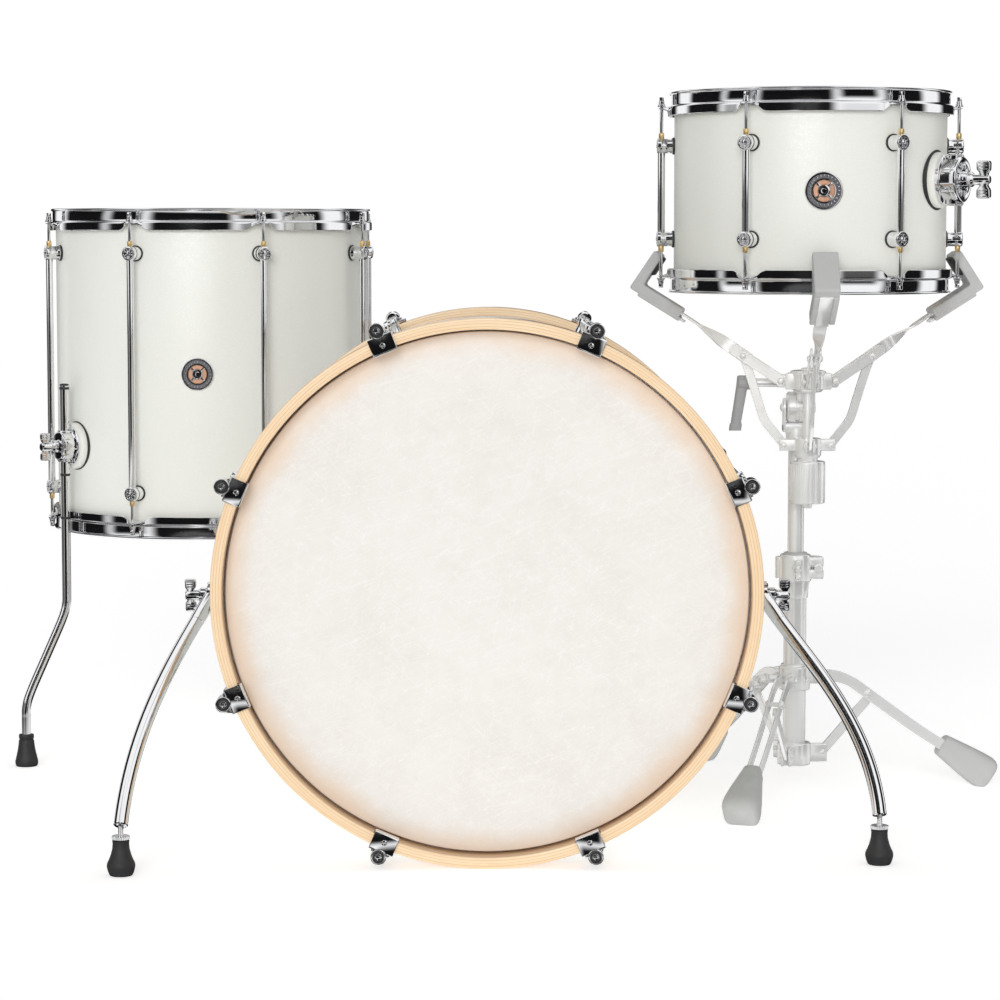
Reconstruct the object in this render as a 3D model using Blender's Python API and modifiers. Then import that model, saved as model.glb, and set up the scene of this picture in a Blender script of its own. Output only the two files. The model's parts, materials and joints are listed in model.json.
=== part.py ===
"""Acoustic drum kit: bass drum on spurs, floor tom on legs, rack tom in a basket stand.

Metres, +Z up, the audience side faces -Y. The origin is the middle of the kit's footprint on the floor.
"""
import math

import bmesh
import bpy
from mathutils import Matrix, Vector

# Kit layout, measured from the middle of the bass drum's front hoop face.
KIT_MIDDLE = Vector((0.0037891, 0.5251500, 0.0))
FLOOR_TOM_PLACE = Vector((-0.366, 0.800, 0.2954))
RACK_TOM_PLACE = Vector((0.384, 0.440, 0.6096))
STAND_PLACE = Vector((0.3735, 0.4705, 0.0))

GAP = 0.0003
MERGE = 0.00005
SIDES_BIG = 48
SIDES_TOM = 40
SIDES_TUBE = 16
SIDES_SMALL = 8

# Bass drum, 22 x 18 inches.
BASS_R = 0.2775
BASS_DEPTH = 0.457
BASS_WALL = 0.007
BASS_HOOP_R = 0.2955
BASS_HOOP_WALL = 0.0125
BASS_HOOP_WIDTH = 0.038
BASS_HOOP_OVERHANG = 0.024
BASS_LINES = 8
BASS_LINE_R = 0.3005

# Floor tom, 16 x 16 inches, and rack tom, 13 x 9 inches.
TOM_WALL = 0.006
RIM_RISE = 0.005
FLOOR_TOM = {"radius": 0.2032, "depth": 0.4064, "lugs": 8, "first_lug": 22.5, "post_inset": 0.052}
RACK_TOM = {"radius": 0.1620, "depth": 0.2276, "lugs": 6, "first_lug": 30.0, "post_inset": 0.0585}
LUG_STANDOFF = 0.0155
POST_R = 0.0092
POST_OUT = 0.021
LUG_TUBE_R = 0.0045
ROD_R = 0.0028
LUG_TUBE_OVERRUN = 0.004

# Tom hoops: height over the shell's edge, flange widths, and the ears that take the tension rods.
HOOP_FLANGE = 0.0060
HOOP_WALL = 0.0023
HOOP_SHOULDER_Z = -0.0085
HOOP_SKIRT_OUT = 0.0056
HOOP_SKIRT_LOW = -0.0230
EAR_SIZE = (0.018, 0.0032)
EAR_Z = -0.0118
KEY_HEAD_R = 0.0046
KEY_HEAD_TOP = 0.0010

# Bass drum spurs: the toes stand on the floor.
SPUR_PIVOT = Vector((0.305, 0.130, 0.281))
SPUR_TOES = {"left": Vector((-0.389, -0.030, 0.0)), "right": Vector((0.424, 0.028, 0.0))}
SPUR_TUBE_R = 0.0065
SPUR_STEP = 0.0100
SPUR_KNEE_Z = 0.053
SPUR_FOOT_TOP = 0.0385

# Floor tom legs.
LEG_AZIMUTHS = (-56.0, 56.0, 180.0)
LEG_ROD_R = 0.006
LEG_AXIS_R = 0.2205
LEG_TOE_R = 0.281
LEG_TOP_Z = 0.4866
LEG_BEND_TOP_Z = 0.200
LEG_BEND_LOW_Z = 0.080
LEG_BRACKET_Z = 0.4083
LEG_FOOT_H = 0.041

# Rack tom bracket.
TOM_BRACKET_AZIMUTH = 60.0
TOM_BRACKET_Z = 0.742

# Stand: tripod, telescopic tube, basket.
STAND_LEG_AZIMUTHS = (-20.0, 99.0, 205.0)
BASKET_AZIMUTHS = (0.0, -100.0, 100.0)
BASE_TUBE_R = 0.0138
UPPER_TUBE_R = 0.0097
LOW_COLLAR_Z = (0.0331, 0.0598)
LEG_COLLAR_Z = (0.1253, 0.1536)
CLAMP_Z = (0.2585, 0.2910)
LEG_PIVOT = (0.029, 0.139)
BRACE_FOOT = (0.035, 0.0475)
BRACE_HEAD = (0.0905, 0.1090)
BOOT_TOP = (0.185, 0.0535)
BOOT_TOE = (0.238, 0.0180)
HUB_PIVOT = (0.032, 0.5031)
TILT_Z = 0.4700
LINK_FOOT = (0.028, 0.4260)
LINK_HEAD = (0.078, 0.5330)
JAW_LOW = (0.1525, 0.5835)
JAW_CORNER = (0.2065, 0.6165)
JAW_TIP = (0.1795, 0.6565)


def clear_scene():
    for item in list(bpy.data.objects):
        bpy.data.objects.remove(item, do_unlink=True)


def new_collection(name):
    found = bpy.data.collections.new(name)
    bpy.context.scene.collection.children.link(found)
    return found


def make_material(name, colour, roughness, metallic):
    made = bpy.data.materials.new(name)
    made.use_nodes = True
    shader = made.node_tree.nodes["Principled BSDF"]
    shader.inputs["Base Color"].default_value = (*colour, 1.0)
    shader.inputs["Roughness"].default_value = roughness
    shader.inputs["Metallic"].default_value = metallic
    return made


def empty(name, location=(0, 0, 0), rotation=(0, 0, 0), parent=None):
    made = bpy.data.objects.new(name, None)
    made.location = location
    made.rotation_euler = rotation
    made.parent = parent
    KIT.objects.link(made)
    return made


def scratch(bm):
    """An unlinked-later helper object that holds one bmesh."""
    mesh = bpy.data.meshes.new("scratch")
    bmesh.ops.recalc_face_normals(bm, faces=bm.faces)
    bm.to_mesh(mesh)
    bm.free()
    made = bpy.data.objects.new("scratch", mesh)
    made.display_type = "WIRE"
    made.hide_render = True
    CUTTERS.objects.link(made)
    return made


def rod(start, end, radius, sides=SIDES_SMALL, end_radius=None):
    start, end = Vector(start), Vector(end)
    run = end - start
    turn = run.to_track_quat("Z", "Y").to_matrix().to_4x4()
    bm = bmesh.new()
    bmesh.ops.create_cone(bm, cap_ends=True, segments=sides, radius1=radius,
                          radius2=radius if end_radius is None else end_radius, depth=run.length,
                          matrix=Matrix.Translation((start + end) / 2) @ turn)
    return scratch(bm)


def block(centre, size, rotation=None):
    bm = bmesh.new()
    place = Matrix.Translation(centre)
    if rotation is not None:
        place = place @ rotation.to_4x4()
    bmesh.ops.create_cube(bm, size=1.0, matrix=place @ Matrix.Diagonal((*size, 1.0)))
    return scratch(bm)


def evaluated(item):
    bpy.context.view_layer.update()
    graph = bpy.context.evaluated_depsgraph_get()
    return bpy.data.meshes.new_from_object(item.evaluated_get(graph))


def settled(item):
    """Turn a curve or an object with modifiers into a plain scratch mesh object."""
    mesh = evaluated(item)
    bm = bmesh.new()
    bm.from_mesh(mesh)
    bmesh.ops.transform(bm, matrix=item.matrix_world, verts=bm.verts)
    bmesh.ops.remove_doubles(bm, verts=bm.verts, dist=MERGE / 5)
    bpy.data.objects.remove(item, do_unlink=True)
    return scratch(bm)


def turned(outline, sides):
    """A solid turned about Z from a closed outline of (radius, z), outer side running down."""
    bm = bmesh.new()
    points = [bm.verts.new((r, 0.0, z)) for r, z in outline]
    on_axis = outline[0][0] == 0.0 and outline[-1][0] == 0.0
    for first, second in zip(points, points[1:]):
        bm.edges.new((first, second))
    if not on_axis:
        bm.edges.new((points[-1], points[0]))
    mesh = bpy.data.meshes.new("profile")
    bm.to_mesh(mesh)
    bm.free()
    made = bpy.data.objects.new("profile", mesh)
    CUTTERS.objects.link(made)
    screw = made.modifiers.new("Turn", "SCREW")
    screw.axis = "Z"
    screw.steps = sides
    screw.render_steps = sides
    screw.use_merge_vertices = True
    screw.merge_threshold = MERGE / 5
    return settled(made)


def tube_along(points, radius, resolution=2):
    curve = bpy.data.curves.new("path", "CURVE")
    curve.dimensions = "3D"
    curve.bevel_depth = radius
    curve.bevel_resolution = resolution
    curve.use_fill_caps = True
    line = curve.splines.new("POLY")
    line.points.add(len(points) - 1)
    for knot, point in zip(line.points, points):
        knot.co = (*point, 1.0)
    made = bpy.data.objects.new("path", curve)
    CUTTERS.objects.link(made)
    return settled(made)


def plate(outline, thickness, frame):
    """A flat plate from a closed 2D outline, its middle plane on frame's XY plane."""
    curve = bpy.data.curves.new("outline", "CURVE")
    curve.dimensions = "2D"
    curve.fill_mode = "BOTH"
    curve.extrude = thickness / 2
    line = curve.splines.new("POLY")
    line.points.add(len(outline) - 1)
    for knot, (x, y) in zip(line.points, outline):
        knot.co = (x, y, 0.0, 1.0)
    line.use_cyclic_u = True
    made = bpy.data.objects.new("outline", curve)
    CUTTERS.objects.link(made)
    made.matrix_world = frame
    return settled(made)


def combine(base, others, operation="UNION"):
    """Join or cut base with each of the others, leaving one scratch object."""
    for other in others:
        modifier = base.modifiers.new(operation.title(), "BOOLEAN")
        modifier.operation = operation
        modifier.object = other
    result = settled(base)
    for other in others:
        bpy.data.objects.remove(other, do_unlink=True)
    return result


def finish(name, shape, material, parent=None, smooth=35.0):
    """Name a scratch shape as a part of the kit."""
    mesh = shape.data
    bpy.data.objects.remove(shape, do_unlink=True)
    mesh.name = name
    mesh.materials.clear()
    mesh.materials.append(material)
    mesh.shade_smooth()
    mesh.set_sharp_from_angle(angle=math.radians(smooth))
    return place(name, mesh, parent)


def place(name, mesh, parent):
    made = bpy.data.objects.new(name, mesh)
    made.parent = parent
    KIT.objects.link(made)
    return made


def around(azimuth, radius, z=0.0):
    """The point at an azimuth in degrees from -Y towards +X."""
    angle = math.radians(azimuth)
    return Vector((radius * math.sin(angle), -radius * math.cos(angle), z))


def radial_plane(azimuth, side=0.0):
    """The frame whose X runs outward, Y up and Z sideways, at an azimuth."""
    out = around(azimuth, 1.0)
    up = Vector((0, 0, 1))
    across = out.cross(up)
    frame = Matrix((out, up, across)).transposed().to_4x4()
    frame.translation = across * side
    return frame


def strip_outline(path, width):
    """The outline of a flat strip of even width along a 2D path, with pointed-round ends."""
    left, right = [], []
    points = [Vector(p) for p in path]
    for index, point in enumerate(points):
        before = points[max(index - 1, 0)]
        after = points[min(index + 1, len(points) - 1)]
        along = (after - before).normalized()
        normal = Vector((-along.y, along.x)) * (width / 2)
        left.append(point + normal)
        right.append(point - normal)
    start = points[0] - (points[1] - points[0]).normalized() * (width / 2)
    end = points[-1] + (points[-1] - points[-2]).normalized() * (width / 2)
    return [start] + left + [end] + right[::-1]


def fork_ears(azimuths, radius, z, size):
    """A pair of ears at each azimuth, which take a strip between them."""
    ears = []
    for azimuth in azimuths:
        turn = Matrix.Rotation(math.radians(azimuth), 3, "Z")
        for side in (-1, 1):
            ears.append(block(around(azimuth, radius, z) + turn @ Vector((side * 0.0045, 0, 0)), size,
                              turn))
    return ears


def shell_ring(radius, wall, depth):
    """A drum shell standing on z = 0, its bearing edges cut back on the inside."""
    edge = wall * 0.6
    return turned([(radius, depth), (radius, 0.0), (radius - wall + edge, 0.0), (radius - wall, edge),
                   (radius - wall, depth - edge), (radius - wall + edge, depth)],
                  SIDES_BIG if radius > 0.25 else SIDES_TOM)


def head_shape(radius, seat, flesh_z, flesh_h, flesh_wall, sides):
    """A drumhead over an edge at z = 0: film, collar and flesh hoop, facing +Z."""
    film = 0.0008
    inner = radius + 0.0003
    return turned([(0.0, film + GAP), (seat, film + GAP), (seat, flesh_z), (inner + flesh_wall, flesh_z),
                   (inner + flesh_wall, flesh_z - flesh_h), (inner, flesh_z - flesh_h), (inner, GAP),
                   (0.0, GAP)], sides)


def bass_tension_line():
    """One tube lug with a T-rod and a claw at each end, at azimuth 0 on a drum centred on z = 0."""
    hoop_end = BASS_DEPTH / 2 + BASS_HOOP_OVERHANG
    hoop_in = BASS_HOOP_R - BASS_HOOP_WALL
    lug = rod((0, -BASS_LINE_R, -0.168), (0, -BASS_LINE_R, 0.168), LUG_TUBE_R)
    pieces = []
    for end in (-1, 1):
        post_z = end * 0.150
        pieces.append(rod((0, -(BASS_R + 0.0006), post_z), (0, -(BASS_R + 0.030), post_z), POST_R, 8))
        pieces.append(rod((0, -BASS_LINE_R, end * 0.160), (0, -BASS_LINE_R - 0.0002, end * 0.236), ROD_R,
                          6))
        pieces.append(block((0, -(BASS_HOOP_R + 0.0022), end * (hoop_end - 0.0126)), (0.028, 0.0036,
                                                                                      0.0314)))
        pieces.append(block((0, -(BASS_HOOP_R + 0.0040 + hoop_in - 0.0040) / 2, end * (hoop_end + 0.0018)),
                            (0.028, BASS_HOOP_WALL + 0.0080, 0.0028)))
        pieces.append(block((0, -(hoop_in - 0.0024), end * (hoop_end - 0.0034)), (0.024, 0.0032, 0.0130)))
        pieces.append(rod((0, -BASS_LINE_R - 0.0040, end * 0.228), (0, -BASS_LINE_R - 0.0040, end * 0.2585),
                          0.0085, 8))
    return combine(lug, pieces)


def build_bass_drum(chrome, shell_paint, head_film, maple):
    drum = empty("bass_drum_axis", Vector((0, BASS_DEPTH / 2 + BASS_HOOP_OVERHANG,
                                           BASS_HOOP_R)) - KIT_MIDDLE,
                 (math.pi / 2, 0, 0))
    base = empty("bass_drum_shell_foot", (0, 0, -BASS_DEPTH / 2), parent=drum)
    finish("bass_shell", shell_ring(BASS_R, BASS_WALL, BASS_DEPTH), shell_paint, base)
    head = finish("bass_front_head", head_shape(BASS_R, BASS_R + 0.0014, -0.0145, 0.006, 0.0075, SIDES_BIG),
                  head_film, empty("bass_front_edge", (0, 0, BASS_DEPTH / 2), parent=drum), 50)
    rear = empty("bass_rear_edge", (0, 0, -BASS_DEPTH / 2), (math.pi, 0, 0), drum)
    place("bass_rear_head", head.data, rear)
    top = BASS_HOOP_OVERHANG
    low = top - BASS_HOOP_WIDTH
    ring = turned([(BASS_HOOP_R, top), (BASS_HOOP_R, low), (BASS_HOOP_R - BASS_HOOP_WALL, low),
                   (BASS_HOOP_R - BASS_HOOP_WALL, top)], SIDES_BIG)
    hoop = finish("bass_front_hoop", ring, maple, head.parent)
    place("bass_rear_hoop", hoop.data, rear)
    mesh = None
    for number in range(BASS_LINES):
        turn = math.radians(360.0 / BASS_LINES * (number + 0.5))
        spoke = empty(f"bass_line_{number + 1}_spoke", (0, 0, 0), (0, 0, turn), drum)
        name = f"bass_tension_line_{number + 1}"
        if mesh is None:
            mesh = finish(name, bass_tension_line(), chrome, spoke).data
        else:
            place(name, mesh, spoke)


def bezier(first, second, third, fourth, steps):
    points = []
    for step in range(steps + 1):
        t = step / steps
        s = 1.0 - t
        points.append(first * s ** 3 + second * 3 * s * s * t + third * 3 * s * t * t + fourth * t ** 3)
    return points


def build_spur(side, chrome, rubber):
    """A spur: bracket on the shell, curved leg on a cross pin, clamping knob and screw-on foot."""
    sign = -1 if side == "left" else 1
    toe = SPUR_TOES[side]
    pivot = Vector((sign * SPUR_PIVOT.x, SPUR_PIVOT.y, SPUR_PIVOT.z))
    holder = empty(f"spur_{side}_bracket_axis", pivot - KIT_MIDDLE)
    flange = rod((-sign * 0.0268, 0, 0), (-sign * 0.0228, 0, 0), 0.026, 20)
    boss = rod((-sign * 0.0230, 0, 0), (-sign * 0.0054, 0, 0), 0.0165, SIDES_TUBE)
    finish(f"spur_{side}_bracket", combine(flange, [boss]), chrome, holder)

    fold = empty(f"spur_{side}_fold_axis", pivot - KIT_MIDDLE)
    run = abs(toe.x) - SPUR_PIVOT.x
    drop = pivot.z - SPUR_KNEE_Z
    forward = (toe.y - pivot.y + SPUR_STEP) / drop

    def at(reach, fall):
        return Vector((sign * reach, -fall * forward - SPUR_STEP, fall))

    knee = at(run, -drop)
    path = bezier(at(0.0, 0.0), at(0.029, -0.052), at(run - 0.006, -0.122), knee, 10)
    tube = tube_along(path[1:], SPUR_TUBE_R, 2)
    eye = rod((-sign * 0.0050, 0, 0), (sign * 0.0050, 0, 0), 0.0150, SIDES_TUBE)
    neck = rod(path[0] + (path[1] - path[0]) * 0.3, path[2], SPUR_TUBE_R * 0.95, SIDES_SMALL)
    thread = rod(knee + Vector((0, 0, 0.002)), knee - Vector((0, 0, SPUR_KNEE_Z - 0.006)), 0.0030, 8)
    finish(f"spur_{side}_leg", combine(tube, [eye, neck, thread]), chrome, fold)

    stand = empty(f"spur_{side}_foot_axis", toe - KIT_MIDDLE)
    top = SPUR_FOOT_TOP
    boot = turned([(0.0036, top + 0.004), (0.0098, top + 0.004), (0.0098, top), (0.0088, top - 0.0006),
                   (0.0098, 0.0240), (0.0152, 0.0130), (0.0148, 0.0080), (0.0115, 0.0), (0.0036, 0.0)],
                  SIDES_TUBE)
    finish(f"spur_{side}_foot", boot, rubber, stand)

    grip = rod((sign * 0.0056, 0, 0), (sign * 0.0180, 0, 0), 0.0078, SIDES_SMALL)
    wing = block((sign * 0.0235, 0, 0.0015), (0.0120, 0.0090, 0.0370))
    finish(f"spur_{side}_knob", combine(grip, [wing]), chrome, holder)


def tom_shell(drum, brackets=()):
    """A tom shell with its tube lugs, and the leg brackets of a floor tom."""
    radius, depth = drum["radius"], drum["depth"]
    shell = shell_ring(radius, TOM_WALL, depth)
    pieces = []
    for number in range(drum["lugs"]):
        azimuth = drum["first_lug"] + 360.0 / drum["lugs"] * number
        for z in (drum["post_inset"], depth - drum["post_inset"]):
            pieces.append(rod(around(azimuth, radius - 0.003, z), around(azimuth, radius + POST_OUT, z),
                              POST_R))
        tube_end = drum["post_inset"] - LUG_TUBE_OVERRUN
        pieces.append(rod(around(azimuth, radius + LUG_STANDOFF, tube_end),
                          around(azimuth, radius + LUG_STANDOFF, depth - tube_end), LUG_TUBE_R, 8))
    bores = []
    for azimuth, z in brackets:
        pieces.append(rod(around(azimuth, radius - 0.003, z), around(azimuth, radius + 0.0065, z),
                          0.0300, SIDES_TUBE))
        pieces.append(rod(around(azimuth, radius + 0.005, z), around(azimuth, radius + 0.0290, z),
                          0.0190, 12))
        bores.append(rod(around(azimuth, LEG_AXIS_R, z - 0.05), around(azimuth, LEG_AXIS_R, z + 0.05),
                         LEG_ROD_R + GAP, SIDES_TUBE))
    shape = combine(shell, pieces)
    if bores:
        shape = combine(shape, bores, "DIFFERENCE")
    return shape


def tom_hoop(drum):
    """A flanged hoop over an edge at z = 0, with an ear and a tension rod at each lug."""
    radius = drum["radius"]
    inner = radius + 0.0016
    skirt = radius + HOOP_SKIRT_OUT
    under = HOOP_SHOULDER_Z - 0.0019
    ring = turned([(inner, RIM_RISE), (radius + HOOP_FLANGE, RIM_RISE), (inner + HOOP_WALL,
                                                                         RIM_RISE - 0.004),
                   (inner + HOOP_WALL, HOOP_SHOULDER_Z), (skirt + HOOP_WALL, HOOP_SHOULDER_Z - 0.0015),
                   (skirt + HOOP_WALL, HOOP_SKIRT_LOW), (skirt, HOOP_SKIRT_LOW), (skirt, under),
                   (inner, under)], SIDES_TOM)
    pieces = []
    lug_r = radius + LUG_STANDOFF
    for number in range(drum["lugs"]):
        azimuth = drum["first_lug"] + 360.0 / drum["lugs"] * number
        turn = Matrix.Rotation(math.radians(azimuth), 3, "Z")
        ear_mid = (skirt + 0.001 + lug_r + 0.006) / 2
        reach = lug_r + 0.005 - skirt
        pieces.append(block(around(azimuth, ear_mid, EAR_Z), (EAR_SIZE[0], reach, EAR_SIZE[1]), turn))
        post_top = POST_R - drum["post_inset"]
        pieces.append(rod(around(azimuth, lug_r, post_top + 0.0008), around(azimuth, lug_r, EAR_Z),
                          ROD_R, 6))
        pieces.append(rod(around(azimuth, lug_r, EAR_Z), around(azimuth, lug_r, KEY_HEAD_TOP),
                          KEY_HEAD_R, 6))
    return combine(ring, pieces)


def build_tom(name, place_at, drum, shell_paint, head_film, chrome, brackets=()):
    foot = empty(f"{name}_axis", place_at + Vector((0, 0, RIM_RISE)) - KIT_MIDDLE)
    finish(f"{name}_shell", tom_shell(drum, brackets), shell_paint, foot)
    top = empty(f"{name}_top_edge", (0, 0, drum["depth"]), parent=foot)
    bottom = empty(f"{name}_bottom_edge", (0, 0, 0), (math.pi, 0, 0), foot)
    radius = drum["radius"]
    skin = head_shape(radius, radius + 0.0011, -0.0112, 0.0055, 0.0042, SIDES_TOM)
    head = finish(f"{name}_top_head", skin, head_film, top, 50)
    place(f"{name}_bottom_head", head.data, bottom)
    hoop = finish(f"{name}_top_hoop", tom_hoop(drum), chrome, top)
    place(f"{name}_bottom_hoop", hoop.data, bottom)


def build_floor_tom_legs(chrome, rubber):
    """Three bent leg rods through the shell brackets, each with a rubber foot and a wing knob."""
    leg_mesh = foot_mesh = knob_mesh = None
    for number, azimuth in enumerate(LEG_AZIMUTHS, 1):
        centre = Vector((FLOOR_TOM_PLACE.x, FLOOR_TOM_PLACE.y, 0.0))
        axis = empty(f"floor_tom_leg_{number}_axis", centre - KIT_MIDDLE, (0, 0, math.radians(azimuth)))
        names = [f"floor_tom_leg_{number}", f"floor_tom_leg_foot_{number}", f"floor_tom_leg_knob_{number}"]
        if leg_mesh is None:
            path = [(0, -LEG_AXIS_R, LEG_TOP_Z), (0, -LEG_AXIS_R, LEG_BEND_TOP_Z + 0.012),
                    (0, -LEG_AXIS_R - 0.0014, LEG_BEND_TOP_Z + 0.001),
                    (0, -LEG_AXIS_R - 0.0065, LEG_BEND_TOP_Z - 0.012),
                    (0, -LEG_TOE_R + 0.0065, LEG_BEND_LOW_Z + 0.012),
                    (0, -LEG_TOE_R + 0.0014, LEG_BEND_LOW_Z), (0, -LEG_TOE_R, LEG_BEND_LOW_Z - 0.012),
                    (0, -LEG_TOE_R, 0.0085)]
            leg_mesh = finish(names[0], tube_along(path, LEG_ROD_R), chrome, axis).data
            toe = empty(f"floor_tom_leg_{number}_toe", (0, -LEG_TOE_R, 0), parent=axis)
            cup = turned([(LEG_ROD_R + GAP, LEG_FOOT_H), (0.0095, LEG_FOOT_H), (0.0098, 0.034), (0.0145,
                                                                                                 0.006),
                          (0.0135, 0.0), (0.0, 0.0), (0.0, 0.0080), (LEG_ROD_R + GAP, 0.0080)], SIDES_TUBE)
            foot_mesh = finish(names[1], cup, rubber, toe).data
            knob_mesh = finish(names[2], wing_knob(0.0300, 0.0085, 0.036), chrome, knob_axis(axis,
                                                                                             number)).data
            continue
        place(names[0], leg_mesh, axis)
        place(names[1], foot_mesh, empty(f"floor_tom_leg_{number}_toe", (0, -LEG_TOE_R, 0), parent=axis))
        place(names[2], knob_mesh, knob_axis(axis, number))


def knob_axis(axis, number):
    """The wing bolt's axis, radial at the bracket's middle; its frame's -Y points outward."""
    return empty(f"floor_tom_leg_{number}_knob_axis", (0, -FLOOR_TOM["radius"], LEG_BRACKET_Z), parent=axis)


def wing_knob(start, collar_r, span):
    """A winged knob along -Y, from start outward, made of a collar and a two-lobed wing."""
    collar = rod((0, -start, 0), (0, -start - 0.0120, 0), collar_r, SIDES_SMALL)
    wing = block((0, -start - 0.0155, 0), (0.0110, 0.0110, span))
    return combine(collar, [wing])


def build_tom_bracket(chrome, shell_paint):
    """The rack tom's receiver: base disc, ring, housing and wing knob at the side of the shell."""
    centre = Vector((RACK_TOM_PLACE.x, RACK_TOM_PLACE.y, TOM_BRACKET_Z)) - KIT_MIDDLE
    axis = empty("rack_tom_bracket_axis", centre, (0, 0, math.radians(TOM_BRACKET_AZIMUTH)))
    radius = RACK_TOM["radius"]
    disc = rod((0, -radius - 0.0010, 0), (0, -radius - 0.0110, 0), 0.0340, 24)
    cup = rod((0, -radius - 0.0105, 0), (0, -radius - 0.0290, 0), 0.0240, SIDES_TUBE)
    finish("rack_tom_bracket", combine(disc, [cup]), shell_paint, axis)
    knob = wing_knob(radius + 0.0294, 0.0110, 0.040)
    finish("rack_tom_bracket_knob", knob, chrome, axis)


def build_stand_column(chrome):
    """Base tube with its clamp and lower collar, the sliding leg collar, and the upper tube."""
    stand = empty("stand_axis", STAND_PLACE - KIT_MIDDLE)
    bore = UPPER_TUBE_R + 0.0006
    low, high = LOW_COLLAR_Z
    clamp_low, clamp_high = CLAMP_Z
    base = turned([(bore, clamp_high), (0.0195, clamp_high), (0.0195, clamp_low), (0.0165, clamp_low),
                   (0.0150, clamp_low - 0.0220), (BASE_TUBE_R, clamp_low - 0.0225), (BASE_TUBE_R, high),
                   (0.0205, high), (0.0205, low), (0.0, low), (0.0, low + 0.012), (bore, low + 0.012)], 24)
    pieces = fork_ears(STAND_LEG_AZIMUTHS, 0.0290, BRACE_FOOT[1], (0.0030, 0.0220, high - low - 0.006))
    middle = (clamp_low + clamp_high) / 2
    pieces.append(block((0.0230, -0.0040, middle), (0.0190, 0.0130, 0.0270)))
    finish("stand_base_tube", combine(base, pieces), chrome, stand)

    low, high = LEG_COLLAR_Z
    ring = turned([(BASE_TUBE_R + 0.0004, high), (0.0190, high), (0.0190, low), (BASE_TUBE_R + 0.0004,
                                                                                 low)], 24)
    lugs = [block(around(azimuth, 0.0255, LEG_PIVOT[1]), (0.0080, 0.0170, 0.0150),
                  Matrix.Rotation(math.radians(azimuth), 3, "Z")) for azimuth in STAND_LEG_AZIMUTHS]
    lugs.append(rod(around(-75, 0.0170, LEG_PIVOT[1]), around(-75, 0.0380, LEG_PIVOT[1]), 0.0050, 8))
    lugs.append(block(around(-75, 0.0400, LEG_PIVOT[1]), (0.0280, 0.0120, 0.0070),
                      Matrix.Rotation(math.radians(-75), 3, "Z")))
    finish("stand_leg_collar", combine(ring, lugs), chrome, stand)

    upper = rod((0, 0, low - 0.040), (0, 0, TILT_Z - 0.0240), UPPER_TUBE_R, SIDES_TUBE)
    yoke = [block((0, 0, TILT_Z - 0.0255), (0.0330, 0.0194, 0.0110))]
    yoke += [block((side * 0.0150, 0, TILT_Z - 0.0080), (0.0030, 0.0194, 0.0400)) for side in (-1, 1)]
    finish("stand_upper_tube", combine(upper, yoke), chrome, stand)

    knob = empty("stand_height_knob_axis", STAND_PLACE + Vector((0, 0, middle)) - KIT_MIDDLE)
    finish("stand_height_knob", wing_knob(0.0200, 0.0060, 0.012), chrome, knob)


def build_stand_legs(chrome):
    """Each leg is a pair of strips into a rubber boot; its brace is one strip between them."""
    for number, azimuth in enumerate(STAND_LEG_AZIMUTHS, 1):
        middle = empty(f"stand_leg_{number}_plane", STAND_PLACE - KIT_MIDDLE)
        path = [LEG_PIVOT, (0.048, 0.1410), (0.070, 0.1340), (0.0905, 0.1190), (0.150, 0.0760), BOOT_TOP]
        strips = [plate(strip_outline(path, 0.0130), 0.0028, radial_plane(azimuth, side * 0.0072))
                  for side in (-1, 1)]
        top = around(azimuth, BOOT_TOP[0] - 0.006, BOOT_TOP[1] + 0.004)
        toe = around(azimuth, BOOT_TOE[0], BOOT_TOE[1])
        boot = rod(top, toe, 0.0125, SIDES_TUBE, 0.0215)
        for vertex in boot.data.vertices:
            vertex.co.z = max(vertex.co.z, 0.0)
        finish(f"stand_leg_{number}", combine(boot, strips), chrome, middle)
        line = [BRACE_FOOT, BRACE_HEAD]
        brace = plate(strip_outline(line, 0.0110), 0.0040, radial_plane(azimuth, 0.0))
        finish(f"stand_brace_{number}", brace, chrome, middle)


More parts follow.
